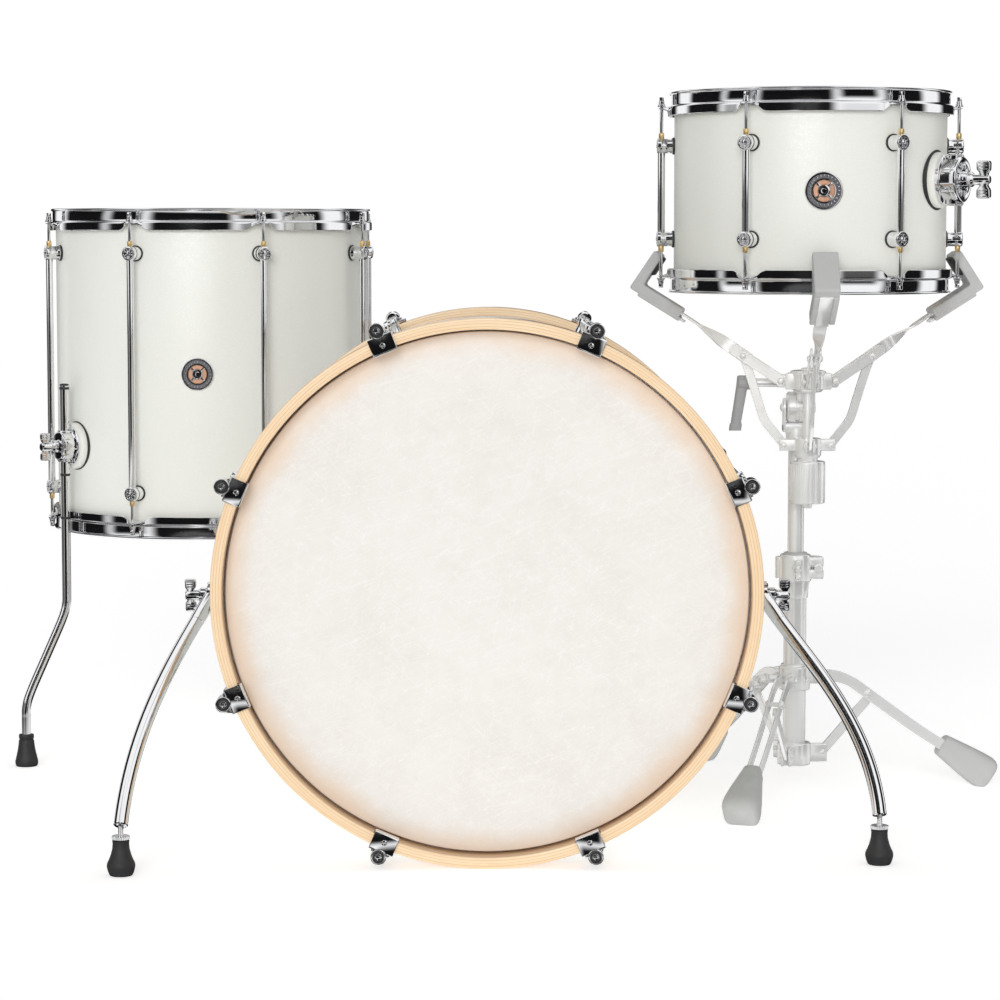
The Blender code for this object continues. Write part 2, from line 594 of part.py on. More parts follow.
def build_basket(chrome):
    """Tilting basket: hub on the tilter, threaded rod, sliding collar with its nut, arms and links."""
    centre = Vector((RACK_TOM_PLACE.x, RACK_TOM_PLACE.y, 0)) - KIT_MIDDLE
    axis = empty("stand_basket_axis", centre)
    offset = STAND_PLACE - Vector((RACK_TOM_PLACE.x, RACK_TOM_PLACE.y, 0))
    spindle = rod((0, 0, 0.3500), (0, 0, 0.5163), 0.0060, SIDES_SMALL)
    hub = rod((0, 0, 0.4899), (0, 0, 0.5163), 0.0200, 20)
    lugs = [block(around(azimuth, 0.0260, HUB_PIVOT[1]), (0.0080, 0.0220, 0.0150),
                  Matrix.Rotation(math.radians(azimuth), 3, "Z")) for azimuth in BASKET_AZIMUTHS]
    tilter = rod(offset + Vector((-0.0125, 0.0, TILT_Z)), offset + Vector((0.0125, 0.0, TILT_Z)), 0.0190,
                 20)
    web = block((offset.x / 2, offset.y / 2, 0.4865), (0.0120, 0.0300, 0.0160))
    finish("stand_basket_hub", combine(hub, lugs + [spindle, tilter, web]), chrome, axis)

    low, high = 0.3560, 0.4068
    nut = turned([(0.0064, 0.4345), (0.0165, 0.4345), (0.0165, 0.4110), (0.0120, high), (0.0212, high),
                  (0.0212, low), (0.0064, low)], 24)
    ears = fork_ears(BASKET_AZIMUTHS, 0.0235, LINK_FOOT[1], (0.0030, 0.0190, 0.0130))
    finish("stand_basket_collar", combine(nut, ears), chrome, axis)

    for number, azimuth in enumerate(BASKET_AZIMUTHS, 1):
        path = [HUB_PIVOT, LINK_HEAD, (0.118, 0.5605), JAW_LOW]
        arms = [plate(strip_outline(path, 0.0120), 0.0025, radial_plane(azimuth, side * 0.0058))
                for side in (-1, 1)]
        jaw_path = [JAW_LOW, JAW_CORNER, JAW_TIP]
        jaw = plate(strip_outline(jaw_path, 0.0110), 0.0280, radial_plane(azimuth))
        finish(f"stand_basket_arm_{number}", combine(jaw, arms), chrome, axis)
        link = plate(strip_outline([LINK_FOOT, (0.052, 0.4550), LINK_HEAD], 0.0100), 0.0040,
                     radial_plane(azimuth, 0.0))
        finish(f"stand_basket_link_{number}", link, chrome, axis)


def build_kit():
    chrome = make_material("chrome", (0.80, 0.80, 0.82), 0.08, 1.0)
    shell_paint = make_material("shell_finish", (0.70, 0.72, 0.66), 0.45, 0.0)
    head_film = make_material("head_film", (0.90, 0.87, 0.83), 0.60, 0.0)
    maple = make_material("maple_hoop", (0.84, 0.64, 0.38), 0.35, 0.0)
    rubber = make_material("rubber", (0.03, 0.03, 0.03), 0.60, 0.0)
    stand_metal = make_material("stand_metal", (0.78, 0.78, 0.79), 0.25, 1.0)
    build_bass_drum(chrome, shell_paint, head_film, maple)
    for side in ("left", "right"):
        build_spur(side, chrome, rubber)
    bracket_z = LEG_BRACKET_Z - FLOOR_TOM_PLACE.z - RIM_RISE
    build_tom("floor_tom", FLOOR_TOM_PLACE, FLOOR_TOM, shell_paint, head_film, chrome,
              [(azimuth, bracket_z) for azimuth in LEG_AZIMUTHS])
    build_floor_tom_legs(chrome, rubber)
    build_tom("rack_tom", RACK_TOM_PLACE, RACK_TOM, shell_paint, head_film, chrome)
    build_tom_bracket(chrome, shell_paint)
    build_stand_column(stand_metal)
    build_stand_legs(stand_metal)
    build_basket(stand_metal)


clear_scene()
KIT = new_collection("acoustic_drum_kit")
CUTTERS = new_collection("cutters")
build_kit()
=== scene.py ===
# Acoustic drum kit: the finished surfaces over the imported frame.
import json
import math

import bmesh
import bpy
from mathutils import Matrix, Vector


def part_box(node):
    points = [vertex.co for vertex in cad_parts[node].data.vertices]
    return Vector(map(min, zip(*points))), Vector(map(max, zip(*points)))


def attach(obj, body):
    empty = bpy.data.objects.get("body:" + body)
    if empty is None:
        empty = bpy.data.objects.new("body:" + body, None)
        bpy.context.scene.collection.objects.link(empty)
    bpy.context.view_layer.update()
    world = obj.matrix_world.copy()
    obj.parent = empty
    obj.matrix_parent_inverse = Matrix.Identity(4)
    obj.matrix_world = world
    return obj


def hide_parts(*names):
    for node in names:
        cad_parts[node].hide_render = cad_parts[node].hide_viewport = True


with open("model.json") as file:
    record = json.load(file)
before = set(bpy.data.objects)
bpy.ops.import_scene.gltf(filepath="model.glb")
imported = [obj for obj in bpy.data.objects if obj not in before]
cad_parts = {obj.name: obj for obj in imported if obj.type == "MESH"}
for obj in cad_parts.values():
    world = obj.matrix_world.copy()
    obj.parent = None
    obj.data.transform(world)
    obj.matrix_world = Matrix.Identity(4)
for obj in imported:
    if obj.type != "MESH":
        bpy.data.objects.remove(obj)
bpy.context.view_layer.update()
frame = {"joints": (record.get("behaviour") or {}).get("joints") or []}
jointByName = {joint["name"]: joint for joint in frame["joints"]}
finishes = {}
print("frame loaded")


# places that come from the frame

def middleOf(node):
    low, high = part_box(node)
    return (low + high) / 2


def jointPlace(name):
    return Vector(jointByName[name]["pos_m"])


def azimuthFrom(centre, point):  # degrees from -Y towards +X
    return math.degrees(math.atan2(point.x - centre.x, centre.y - point.y))


def turned(azimuth):
    return Matrix.Rotation(math.radians(azimuth), 4, "Z")


def moved(place):
    return Matrix.Translation(place)


bassMiddle = middleOf("bass_shell")
bassFrame = moved(bassMiddle) @ Matrix.Rotation(math.pi / 2, 4, "X")  # its +Z faces the audience, +Y is up
floorTomLow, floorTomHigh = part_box("floor_tom_shell")
rackTomLow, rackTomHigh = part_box("rack_tom_shell")
floorTomFoot = Vector((*((floorTomLow + floorTomHigh) / 2).xy, floorTomLow.z))
rackTomFoot = Vector((*((rackTomLow + rackTomHigh) / 2).xy, rackTomLow.z))
tubeMiddle = middleOf("stand_upper_tube")
standFoot = Vector((tubeMiddle.x, tubeMiddle.y, 0.0))
basketFoot = Vector((rackTomFoot.x, rackTomFoot.y, 0.0))


# mesh tools

def arc(centre, radius, first, last, steps):
    out = []
    for step in range(steps + 1):
        angle = math.radians(first + (last - first) * step / steps)
        out.append((centre[0] + radius * math.cos(angle), centre[1] + radius * math.sin(angle)))
    return out


# Rounds the corners of a flat outline
def softened(outline, radius, steps=3, closed=True):
    points = [Vector(point) for point in outline]
    out = []
    for index, corner in enumerate(points):
        if not closed and index in (0, len(points) - 1):
            out.append(corner)
            continue
        before = points[index - 1]
        after = points[(index + 1) % len(points)]
        back, ahead = before - corner, after - corner
        reach = min(radius, back.length * 0.45, ahead.length * 0.45)
        start, end = corner + back.normalized() * reach, corner + ahead.normalized() * reach
        for step in range(steps + 1):
            t = step / steps
            out.append(start * (1 - t) ** 2 + corner * 2 * t * (1 - t) + end * t * t)
    return [tuple(point) for point in out]


# A ring of faces about Z from (radius, z) points; points on the axis become one pole
def lathe(outline, steps, closed=True):
    bm = bmesh.new()
    rings = []
    for radius, z in outline:
        if radius < 1e-6:
            rings.append([bm.verts.new((0, 0, z))])
            continue
        rings.append([bm.verts.new((radius * math.cos(2 * math.pi * step / steps),
                                    radius * math.sin(2 * math.pi * step / steps), z))
                      for step in range(steps)])
    pairs = list(zip(rings, rings[1:]))
    if closed and len(rings[0]) > 1 and len(rings[-1]) > 1:
        pairs.append((rings[-1], rings[0]))
    for lower, upper in pairs:
        for step in range(steps):
            after = (step + 1) % steps
            corners = [lower[step % len(lower)], lower[after % len(lower)],
                       upper[after % len(upper)], upper[step % len(upper)]]
            distinct = list(dict.fromkeys(corners))
            if len(distinct) > 2:
                bm.faces.new(distinct)
    return bm


# Skins a list of equal closed rings and caps both ends
def loft(rings):
    bm = bmesh.new()
    layers = [[bm.verts.new(point) for point in ring] for ring in rings]
    count = len(layers[0])
    for lower, upper in zip(layers, layers[1:]):
        for step in range(count):
            after = (step + 1) % count
            bm.faces.new((lower[step], lower[after], upper[after], upper[step]))
    bm.faces.new(layers[0][::-1])
    bm.faces.new(layers[-1])
    return bm


def radial(points):  # (reach, height) pairs to points at azimuth 0
    return [Vector((0, -reach, height)) for reach, height in points]


# Catmull-Rom through the points
def smoothPath(points, steps):
    points = [Vector(point) for point in points]
    padded = [points[0] * 2 - points[1]] + points + [points[-1] * 2 - points[-2]]
    out = []
    for a, b, c, d in zip(padded, padded[1:], padded[2:], padded[3:]):
        for step in range(steps):
            t = step / steps
            out.append((b * 2 + (c - a) * t + (a * 2 - b * 5 + c * 4 - d) * t * t
                        + (b * 3 - a - c * 3 + d) * t ** 3) / 2)
    return out + [points[-1]]


# A round bar along a path with softly rounded ends; radius is a number or one per point
def tube(path, radius, sides=20):
    path = [Vector(point) for point in path]
    radii = list(radius) if isinstance(radius, (list, tuple)) else [radius] * len(path)
    for end, inner in ((0, 1), (-1, -2)):  # a short round-over at each end
        lead = (path[inner] - path[end]).normalized() * min(radii[end] * 0.25, 0.001)
        extra = (path[end] + lead, radii[end])
        radii[end] = radii[end] - lead.length
        if end == 0:
            path.insert(1, extra[0])
            radii.insert(1, extra[1])
        else:
            path.insert(len(path) - 1, extra[0])
            radii.insert(len(radii) - 1, extra[1])
    rings = []
    side = None
    for index, point in enumerate(path):
        ahead = (path[min(index + 1, len(path) - 1)] - path[max(index - 1, 0)]).normalized()
        if side is None:
            side = ahead.orthogonal().normalized()
        side = (side - ahead * side.dot(ahead)).normalized()
        other = ahead.cross(side)
        ring = []
        for step in range(sides):
            angle = 2 * math.pi * step / sides
            ring.append(point + (side * math.cos(angle) + other * math.sin(angle)) * radii[index])
        rings.append(ring)
    return loft(rings)


# A lathe turned to run from start to end; its outline's z counts from start
def roundBar(start, end, outline, sides=24):
    start, end = Vector(start), Vector(end)
    bm = lathe(outline, sides)
    turn = (end - start).to_track_quat("Z", "Y").to_matrix().to_4x4()
    bmesh.ops.transform(bm, matrix=moved(start) @ turn, verts=bm.verts)
    return bm


# A lathe that stands up from a place at azimuth 0, that far out and that high
def uprightBar(reach, z, outline, sides):
    return roundBar((0, -reach, z), (0, -reach, z + 1), outline, sides)


# A lathe that faces outward at azimuth 0
def facingBar(reach, outline, sides, z=0.0):
    return roundBar((0, -reach, z), (0, -reach - 1, z), outline, sides)


# The outline of a flat disc with soft rims
def puck(radius, height, edge=0.0006):
    return softened([(0.0, 0.0), (radius, 0.0), (radius, height), (0.0, height)], edge, 2)


# The outline of a plain round boss with a softened rim and a slightly domed face
def button(radius, height, edge=0.0006, dome=0.0):
    body = [(radius, 0.0), (radius, height - edge)] + arc((radius - edge, height - edge), edge, 0, 90, 4)[1:]
    face = [(radius * 0.6, height + dome * 0.65), (radius * 0.3, height + dome * 0.93), (0.0, height + dome)]
    return [(0.0, 0.0)] + body + face


# A flat plate on the XY plane with softened rims
def slab(outline, thickness, bevel=0.0006, steps=2):
    bm = bmesh.new()
    face = bm.faces.new([bm.verts.new((x, y, -thickness / 2)) for x, y in outline])
    grown = bmesh.ops.extrude_face_region(bm, geom=[face])
    top = [corner for corner in grown["geom"] if isinstance(corner, bmesh.types.BMVert)]
    bmesh.ops.translate(bm, vec=(0, 0, thickness), verts=top)
    bmesh.ops.recalc_face_normals(bm, faces=bm.faces)
    rims = [edge for edge in bm.edges
            if edge.calc_face_angle(0) > 1.2 and abs(edge.verts[0].co.z - edge.verts[1].co.z) < 1e-7]
    bmesh.ops.bevel(bm, geom=rims, offset=bevel, segments=steps, profile=0.6, affect="EDGES",
                    clamp_overlap=True)
    return bm


onEdge = Matrix(((0, 0, 1, 0), (-1, 0, 0, 0), (0, 1, 0, 0), (0, 0, 0, 1)))  # x to -Y, y to Z, depth to X


def slabOnEdge(outline, thickness, bevel, steps=2):
    return copied(slab(outline, thickness, bevel, steps), onEdge)


def brick(centre, size, bevel=0.0008, steps=3, turn=None):
    bm = bmesh.new()
    bmesh.ops.create_cube(bm, size=1.0, matrix=Matrix.Diagonal((*size, 1.0)))
    bmesh.ops.bevel(bm, geom=bm.edges[:], offset=bevel, segments=steps, profile=0.5, affect="EDGES",
                    clamp_overlap=True)
    place = moved(Vector(centre))
    bmesh.ops.transform(bm, matrix=place @ turn if turn is not None else place, verts=bm.verts)
    return bm


# A flat bar in the plane across X; twists turn its width from that plane towards X, in degrees
def strip(path, width, thickness, twists=None, side=0.0, corner=0.0004):
    path = [Vector(point) for point in path]
    twists = twists or [0.0] * len(path)
    across = Vector((1, 0, 0))
    first = (path[0] - path[1]).normalized()
    last = (path[-1] - path[-2]).normalized()
    stations = [(path[0] + first * width / 2 * math.cos(k), math.sin(k), twists[0])
                for k in (0.25, 0.6, 1.0)]
    stations += [(point, 1.0, twist) for point, twist in zip(path, twists)]
    stations += [(path[-1] + last * width / 2 * math.cos(k), math.sin(k), twists[-1])
                 for k in (1.0, 0.6, 0.25)]
    rings = []
    for index, (point, share, twist) in enumerate(stations):
        ahead = (stations[min(index + 1, len(stations) - 1)][0]
                 - stations[max(index - 1, 0)][0]).normalized()
        normal = across.cross(ahead).normalized()
        angle = math.radians(twist)
        wide = normal * math.cos(angle) + across * math.sin(angle)
        thick = across * math.cos(angle) - normal * math.sin(angle)
        half, deep, cut = width / 2 * share, thickness / 2, min(corner, width / 2 * share * 0.5)
        ring = []
        for a, b in ((-half + cut, -deep), (half - cut, -deep), (half, -deep + cut), (half, deep - cut),
                     (half - cut, deep), (-half + cut, deep), (-half, deep - cut), (-half, -deep + cut)):
            ring.append(point + wide * a + thick * b + across * side)
        rings.append(ring)
    return loft(rings)


# Puts several closed forms into one mesh, and places it
def joined(meshes, place=None):
    whole = bmesh.new()
    for part in meshes:
        bmesh.ops.recalc_face_normals(part, faces=part.faces)
        scratch = bpy.data.meshes.new("scratch")
        part.to_mesh(scratch)
        part.free()
        whole.from_mesh(scratch)
        bpy.data.meshes.remove(scratch)
    if place is not None:
        bmesh.ops.transform(whole, matrix=place, verts=whole.verts)
    return whole


def copied(bm, place):
    twin = bm.copy()
    bmesh.ops.transform(twin, matrix=place, verts=twin.verts)
    return twin


# The form at each azimuth
def spread(bm, azimuths):
    return [copied(bm, turned(azimuth)) for azimuth in azimuths]


# The form spun round an axis, count times; share shifts the first by a part of a step
def spun(bm, count, axis="Z", share=0.0):
    return [copied(bm, Matrix.Rotation(2 * math.pi * (step + share) / count, 4, axis))
            for step in range(count)]


# The form and its copy turned half round across the drum's depth
def bothEnds(bm):
    twin = copied(bm, Matrix.Rotation(math.pi, 4, "Y"))
    return joined([bm, twin])


def asObject(name, bm, angle=38.0):
    mesh = bpy.data.meshes.new(name)
    bm.to_mesh(mesh)
    bm.free()
    mesh.shade_smooth()
    mesh.set_sharp_from_angle(angle=math.radians(angle))
    made = bpy.data.objects.new(name, mesh)
    bpy.context.scene.collection.objects.link(made)
    return made


# Finishes one piece: place in the mesh, material, body and the frame's nodes that it stands for
def piece(name, bm, finish, body, stands=(), angle=38.0, place=None):
    bmesh.ops.recalc_face_normals(bm, faces=bm.faces)
    if place is not None:
        bmesh.ops.transform(bm, matrix=place, verts=bm.verts)
    return settle(asObject(name, bm, angle), finish, body, stands)


# Gives an object its finish, and tells the frame where it belongs
def settle(made, finish, body, stands=()):
    made.data.materials.clear()
    made.data.materials.append(finishes[finish])
    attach(made, body)
    if stands:
        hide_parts(*stands)
    return made


# node tools

# A node socket that takes part in plain arithmetic
class Value:

    def __init__(self, bench, socket):
        self.bench = bench
        self.socket = socket

    def combine(self, operation, first, second):
        return self.bench.maths(operation, first, second)

    def __add__(self, other):
        return self.combine("ADD", self, other)

    def __sub__(self, other):
        return self.combine("SUBTRACT", self, other)

    def __mul__(self, other):
        return self.combine("MULTIPLY", self, other)

    def __truediv__(self, other):
        return self.combine("DIVIDE", self, other)

    def __pow__(self, other):
        return self.combine("POWER", self, other)

    def __radd__(self, other):
        return self.combine("ADD", other, self)

    def __rsub__(self, other):
        return self.combine("SUBTRACT", other, self)

    def __rmul__(self, other):
        return self.combine("MULTIPLY", other, self)

    def __rtruediv__(self, other):
        return self.combine("DIVIDE", other, self)


# One node tree with a single way to add a node to it
class Bench:

    def __init__(self, tree):
        self.tree = tree

    def node(self, kind, settings=None, values=None, output=0):
        made = self.tree.nodes.new(kind)
        for name, setting in (settings or {}).items():
            if name == "stops":
                ramp = made.color_ramp
                while len(ramp.elements) < len(setting):
                    ramp.elements.new(0.5)
                for element, (position, colour) in zip(ramp.elements, setting):
                    element.position = position
                    element.color = (*colour, 1.0)
            else:
                setattr(made, name, setting)
        for name, value in (values or {}).items():
            if isinstance(value, Value):
                self.tree.links.new(value.socket, made.inputs[name])
            else:
                made.inputs[name].default_value = value
        return Value(self, made.outputs[output])

    def maths(self, operation, first, second=None):
        values = {0: first} if second is None else {0: first, 1: second}
        return self.node("ShaderNodeMath", {"operation": operation}, values)

    def between(self, low, high, value):  # 0 below low, 1 above high, smooth between them
        return self.node("ShaderNodeMapRange", {"interpolation_type": "SMOOTHSTEP"},
                         {"Value": value, "From Min": low, "From Max": high})

    def mixed(self, share, first, second):  # colours
        return self.node("ShaderNodeMix", {"data_type": "RGBA"}, {0: share, 6: first, 7: second}, 2)

    def place(self, location=(0, 0, 0), scale=(1, 1, 1), rotation=(0, 0, 0)):  # turned first, then scaled
        start = self.node("ShaderNodeTexCoord", None, None, 3)
        centred = self.node("ShaderNodeVectorMath", {"operation": "SUBTRACT"}, {0: start, 1: location})
        if any(rotation):
            centred = self.node("ShaderNodeMapping", None, {"Vector": centred, "Rotation": rotation})
        return self.node("ShaderNodeMapping", None, {"Vector": centred, "Scale": scale})

    def noise(self, vector, scale, detail=3.0, roughness=0.5, distortion=0.0):
        return self.node("ShaderNodeTexNoise", None, {"Vector": vector, "Scale": scale, "Detail": detail,
                                                      "Roughness": roughness, "Distortion": distortion})

    def axes(self, vector):
        made = self.node("ShaderNodeSeparateXYZ", None, {0: vector})
        return [Value(self, output) for output in made.socket.node.outputs]

    def bump(self, height, strength, distance):
        return self.node("ShaderNodeBump", None,
                         {"Height": height, "Strength": strength, "Distance": distance})


def newFinish(name, build):  # build(bench) gives the values and links of the Principled sockets
    material = bpy.data.materials.new(name)
    material.use_nodes = True
    material.node_tree.nodes.clear()
    bench = Bench(material.node_tree)
    surface = bench.node("ShaderNodeBsdfPrincipled", None, build(bench))
    output = material.node_tree.nodes.new("ShaderNodeOutputMaterial")
    material.node_tree.links.new(surface.socket, output.inputs["Surface"])
    finishes[name] = material


# finishes

# colour, roughness, share of bare metal
metals = {"chrome": ((0.90, 0.905, 0.92), 0.035, 1.0), "standSilver": ((0.97, 0.97, 0.965), 0.17, 0.48),
          "brass": ((0.93, 0.68, 0.32), 0.22, 1.0), "aluminium": ((0.78, 0.78, 0.78), 0.34, 1.0),
          "darkSteel": ((0.16, 0.16, 0.17), 0.30, 1.0)}


def metal(colour, roughness, share):
    def build(bench):
        spot = bench.place()
        haze = bench.noise(spot, 38.0, 4.0)
        wipe = bench.noise(bench.place(scale=(1, 1, 0.15)), 240.0, 2.0)
        tint = bench.mixed(haze, (*[c * 0.93 for c in colour], 1), (*colour, 1))
        rough = roughness + haze * roughness * 0.4 + wipe * roughness * 0.25
        return {"Base Color": tint, "Metallic": share, "Roughness": rough,
                "Normal": bench.bump(bench.noise(spot, 420.0, 2.0), 0.008, 0.0002)}
    return build


wrap = {"colour": (0.845, 0.850, 0.800), "deep": (0.795, 0.802, 0.745), "flake": (0.97, 0.98, 0.95),
        "flakesPerMetre": 1500.0, "flakeShare": 0.84, "roughness": 0.42}


def satinWrap(bench):
    spot = bench.place()
    flakes = bench.node("ShaderNodeTexVoronoi", {"feature": "F1"},
                        {"Vector": spot, "Scale": wrap["flakesPerMetre"]}, 1)
    glint = bench.between(wrap["flakeShare"], 1.0, bench.axes(flakes)[0])
    fine = bench.noise(spot, 900.0, 2.0, 0.7)
    cloud = bench.noise(spot, 5.0, 3.0)
    ground = bench.mixed(cloud * 0.6 + fine * 0.4, (*wrap["deep"], 1), (*wrap["colour"], 1))
    return {"Base Color": bench.mixed(glint * 0.55, ground, (*wrap["flake"], 1)),
            "Metallic": glint * 0.35, "Roughness": wrap["roughness"] - glint * 0.16 + fine * 0.06,
            "Coat Weight": 0.18, "Coat Roughness": 0.28, "Specular IOR Level": 0.4,
            "Normal": bench.bump(fine + glint * 0.6, 0.10, 0.0002)}


skin = {"colour": (0.815, 0.792, 0.752), "cloud": (0.755, 0.728, 0.682), "fibre": (0.860, 0.848, 0.820),
        "rim": (0.810, 0.610, 0.430), "rimWidth": 0.029, "fibreWidth": 0.022}


# A flecked film, warmer towards its rim; facing is the axis it faces
def fibreSkin(middle, radius, facing):
    def build(bench):
        spot = bench.place(tuple(middle))
        x, y, z = bench.axes(spot)
        reach = ((x * x + z * z) if facing == "Y" else (x * x + y * y)) ** 0.5
        hairs = None
        for turn, scale in ((0.3, 46.0), (1.35, 58.0), (2.4, 52.0), (3.7, 64.0)):
            spin = (0, turn, 0) if facing == "Y" else (0, 0, turn)
            lane = bench.place(tuple(middle + Vector((turn, turn, turn))), (0.10, 1, 1), spin)
            streak = bench.noise(lane, scale * 3.4, 2.0, 0.5, 0.8)
            line = 1.0 - bench.between(0.0, skin["fibreWidth"], bench.maths("ABSOLUTE", streak - 0.5))
            hairs = line if hairs is None else hairs + line
        cloud = bench.noise(spot, 9.0, 6.0, 0.62)
        patch = bench.noise(spot, 55.0, 4.0, 0.6)
        clouded = bench.between(0.35, 0.75, cloud * 0.65 + patch * 0.35)
        base = bench.mixed(clouded, (*skin["colour"], 1), (*skin["cloud"], 1))
        threads = bench.mixed(hairs * 0.42, base, (*skin["fibre"], 1))
        edge = bench.between(radius - skin["rimWidth"], radius + 0.004, reach + (cloud - 0.5) * 0.05)
        return {"Base Color": bench.mixed(edge * 0.62, threads, (*skin["rim"], 1)),
                "Roughness": 0.58 - hairs * 0.05, "Specular IOR Level": 0.35,
                "Normal": bench.bump(hairs * 0.5 + patch, 0.10, 0.0003)}
    return build


maple = {"pale": (0.930, 0.720, 0.470), "dark": (0.870, 0.620, 0.370), "glue": (0.600, 0.350, 0.170),
         "plies": 4}


# Long grain round the hoop and glue lines between its plies; the lap joint is at the bottom
def hoopMaple(middle, inner, wall):
    def build(bench):
        x, y, z = bench.axes(bench.place(tuple(middle)))
        reach = (x * x + z * z) ** 0.5
        angle = bench.maths("ARCTAN2", x, z)
        lane = bench.node("ShaderNodeCombineXYZ", None, {0: angle * 0.25, 1: y, 2: reach})
        stretched = bench.node("ShaderNodeMapping", None, {"Vector": lane, "Scale": (14, 420, 420)})
        grain = bench.noise(stretched, 1.0, 5.0, 0.6, 0.6)
        fine = bench.node("ShaderNodeMapping", None, {"Vector": lane, "Scale": (60, 1500, 1500)})
        pores = bench.between(0.60, 0.72, bench.noise(fine, 1.0, 2.0))
        ply = (reach - inner) * (maple["plies"] / wall) + (grain - 0.5) * 0.10
        part = bench.maths("PINGPONG", ply, 0.5)
        glue = 1.0 - bench.between(0.03, 0.10, part)
        wood = bench.mixed(bench.between(0.30, 0.72, grain), (*maple["pale"], 1), (*maple["dark"], 1))
        aged = bench.mixed(pores * 0.25, wood, (*maple["glue"], 1))
        return {"Base Color": bench.mixed(glue * 0.75, aged, (*maple["glue"], 1)),
                "Roughness": 0.34 + grain * 0.12, "Coat Weight": 0.55, "Coat Roughness": 0.12,
                "Normal": bench.bump(grain * 0.5 - pores * 0.6 - glue, 0.12, 0.0002)}
    return build


def shellPly(bench):  # bare wood inside the shells
    spot = bench.place(scale=(1, 1, 0.06))
    grain = bench.noise(spot, 260.0, 4.0, 0.6, 0.4)
    band = bench.noise(bench.place(scale=(1, 1, 0.2)), 14.0, 3.0)
    wood = bench.mixed(grain * 0.6 + band * 0.4, (0.62, 0.40, 0.21, 1), (0.80, 0.58, 0.35, 1))
    return {"Base Color": wood, "Roughness": 0.55, "Normal": bench.bump(grain, 0.2, 0.0003)}


rubbers = {"blackRubber": ((0.022, 0.022, 0.023), 0.48), "greyRubber": ((0.490, 0.490, 0.485), 0.60),
           "leverGrey": ((0.360, 0.360, 0.365), 0.50)}


def moulded(colour, roughness):
    def build(bench):
        spot = bench.place()
        pebble = bench.noise(spot, 900.0, 3.0, 0.6)
        dust = bench.noise(spot, 30.0, 5.0, 0.65)
        lighter = tuple(min(1.0, c * 1.30 + 0.006) for c in colour)
        tint = bench.mixed(bench.between(0.45, 0.8, dust) * 0.45, (*colour, 1), (*lighter, 1))
        return {"Base Color": tint, "Roughness": roughness + dust * 0.16, "Specular IOR Level": 0.45,
                "Normal": bench.bump(pebble + dust, 0.16, 0.0003)}
    return build


def copperEnamel(bench):
    spot = bench.place()
    brushed = bench.noise(bench.place(scale=(1, 1, 0.05)), 900.0, 2.0)
    tint = bench.mixed(brushed, (0.50, 0.27, 0.17, 1), (0.66, 0.40, 0.28, 1))
    return {"Base Color": tint, "Metallic": 0.8, "Roughness": 0.30 + bench.noise(spot, 200.0) * 0.15}


for name, (colour, roughness, share) in metals.items():
    newFinish(name, metal(colour, roughness, share))
for name, (colour, roughness) in rubbers.items():
    newFinish(name, moulded(colour, roughness))
newFinish("satinWrap", satinWrap)
newFinish("shellPly", shellPly)
newFinish("copperEnamel", copperEnamel)
print("finishes made")


# geometry nodes: rings of copies, and the pressed tom hoops

def newTree(name, inputs):
    tree = bpy.data.node_groups.new(name, "GeometryNodeTree")
    sockets = {}
    for label, kind, value in inputs:
        made = tree.interface.new_socket(label, in_out="INPUT", socket_type=kind)
        if value is not None:
            made.default_value = value
        sockets[label] = made.identifier
    tree.interface.new_socket("Geometry", in_out="OUTPUT", socket_type="NodeSocketGeometry")
    bench = Bench(tree)
    start = tree.nodes.new("NodeGroupInput")
    return bench, {label: Value(bench, start.outputs[label]) for label, kind, value in inputs}, sockets


# Every tree ends in real geometry with its material
def closedTree(bench, geometry, finish):
    real = bench.node("GeometryNodeRealizeInstances", None, {"Geometry": geometry})
    painted = bench.node("GeometryNodeSetMaterial", None, {"Geometry": real, "Material": finish})
    bench.tree.links.new(painted.socket, bench.tree.nodes.new("NodeGroupOutput").inputs["Geometry"])
    return bench.tree


def ringTree():
    bench, given, sockets = newTree("copiesRoundAxis", (
        ("Form", "NodeSocketObject", None),
        ("Count", "NodeSocketInt", 8),
        ("First Angle", "NodeSocketFloat", 0.0),
        ("Finish", "NodeSocketMaterial", None)))
    form = bench.node("GeometryNodeObjectInfo", {"transform_space": "ORIGINAL"}, {"Object": given["Form"]})
    form = Value(bench, form.socket.node.outputs["Geometry"])
    spots = bench.node("GeometryNodePoints", None, {"Count": given["Count"]})
    index = bench.node("GeometryNodeInputIndex")
    angle = index * (2 * math.pi) / given["Count"] + given["First Angle"]
    turn = bench.node("ShaderNodeCombineXYZ", None, {"Z": angle})
    turn = bench.node("FunctionNodeEulerToRotation", None, {0: turn})
    copies = bench.node("GeometryNodeInstanceOnPoints", None,
                        {"Points": spots, "Instance": form, "Rotation": turn})
    return closedTree(bench, copies, given["Finish"]), sockets


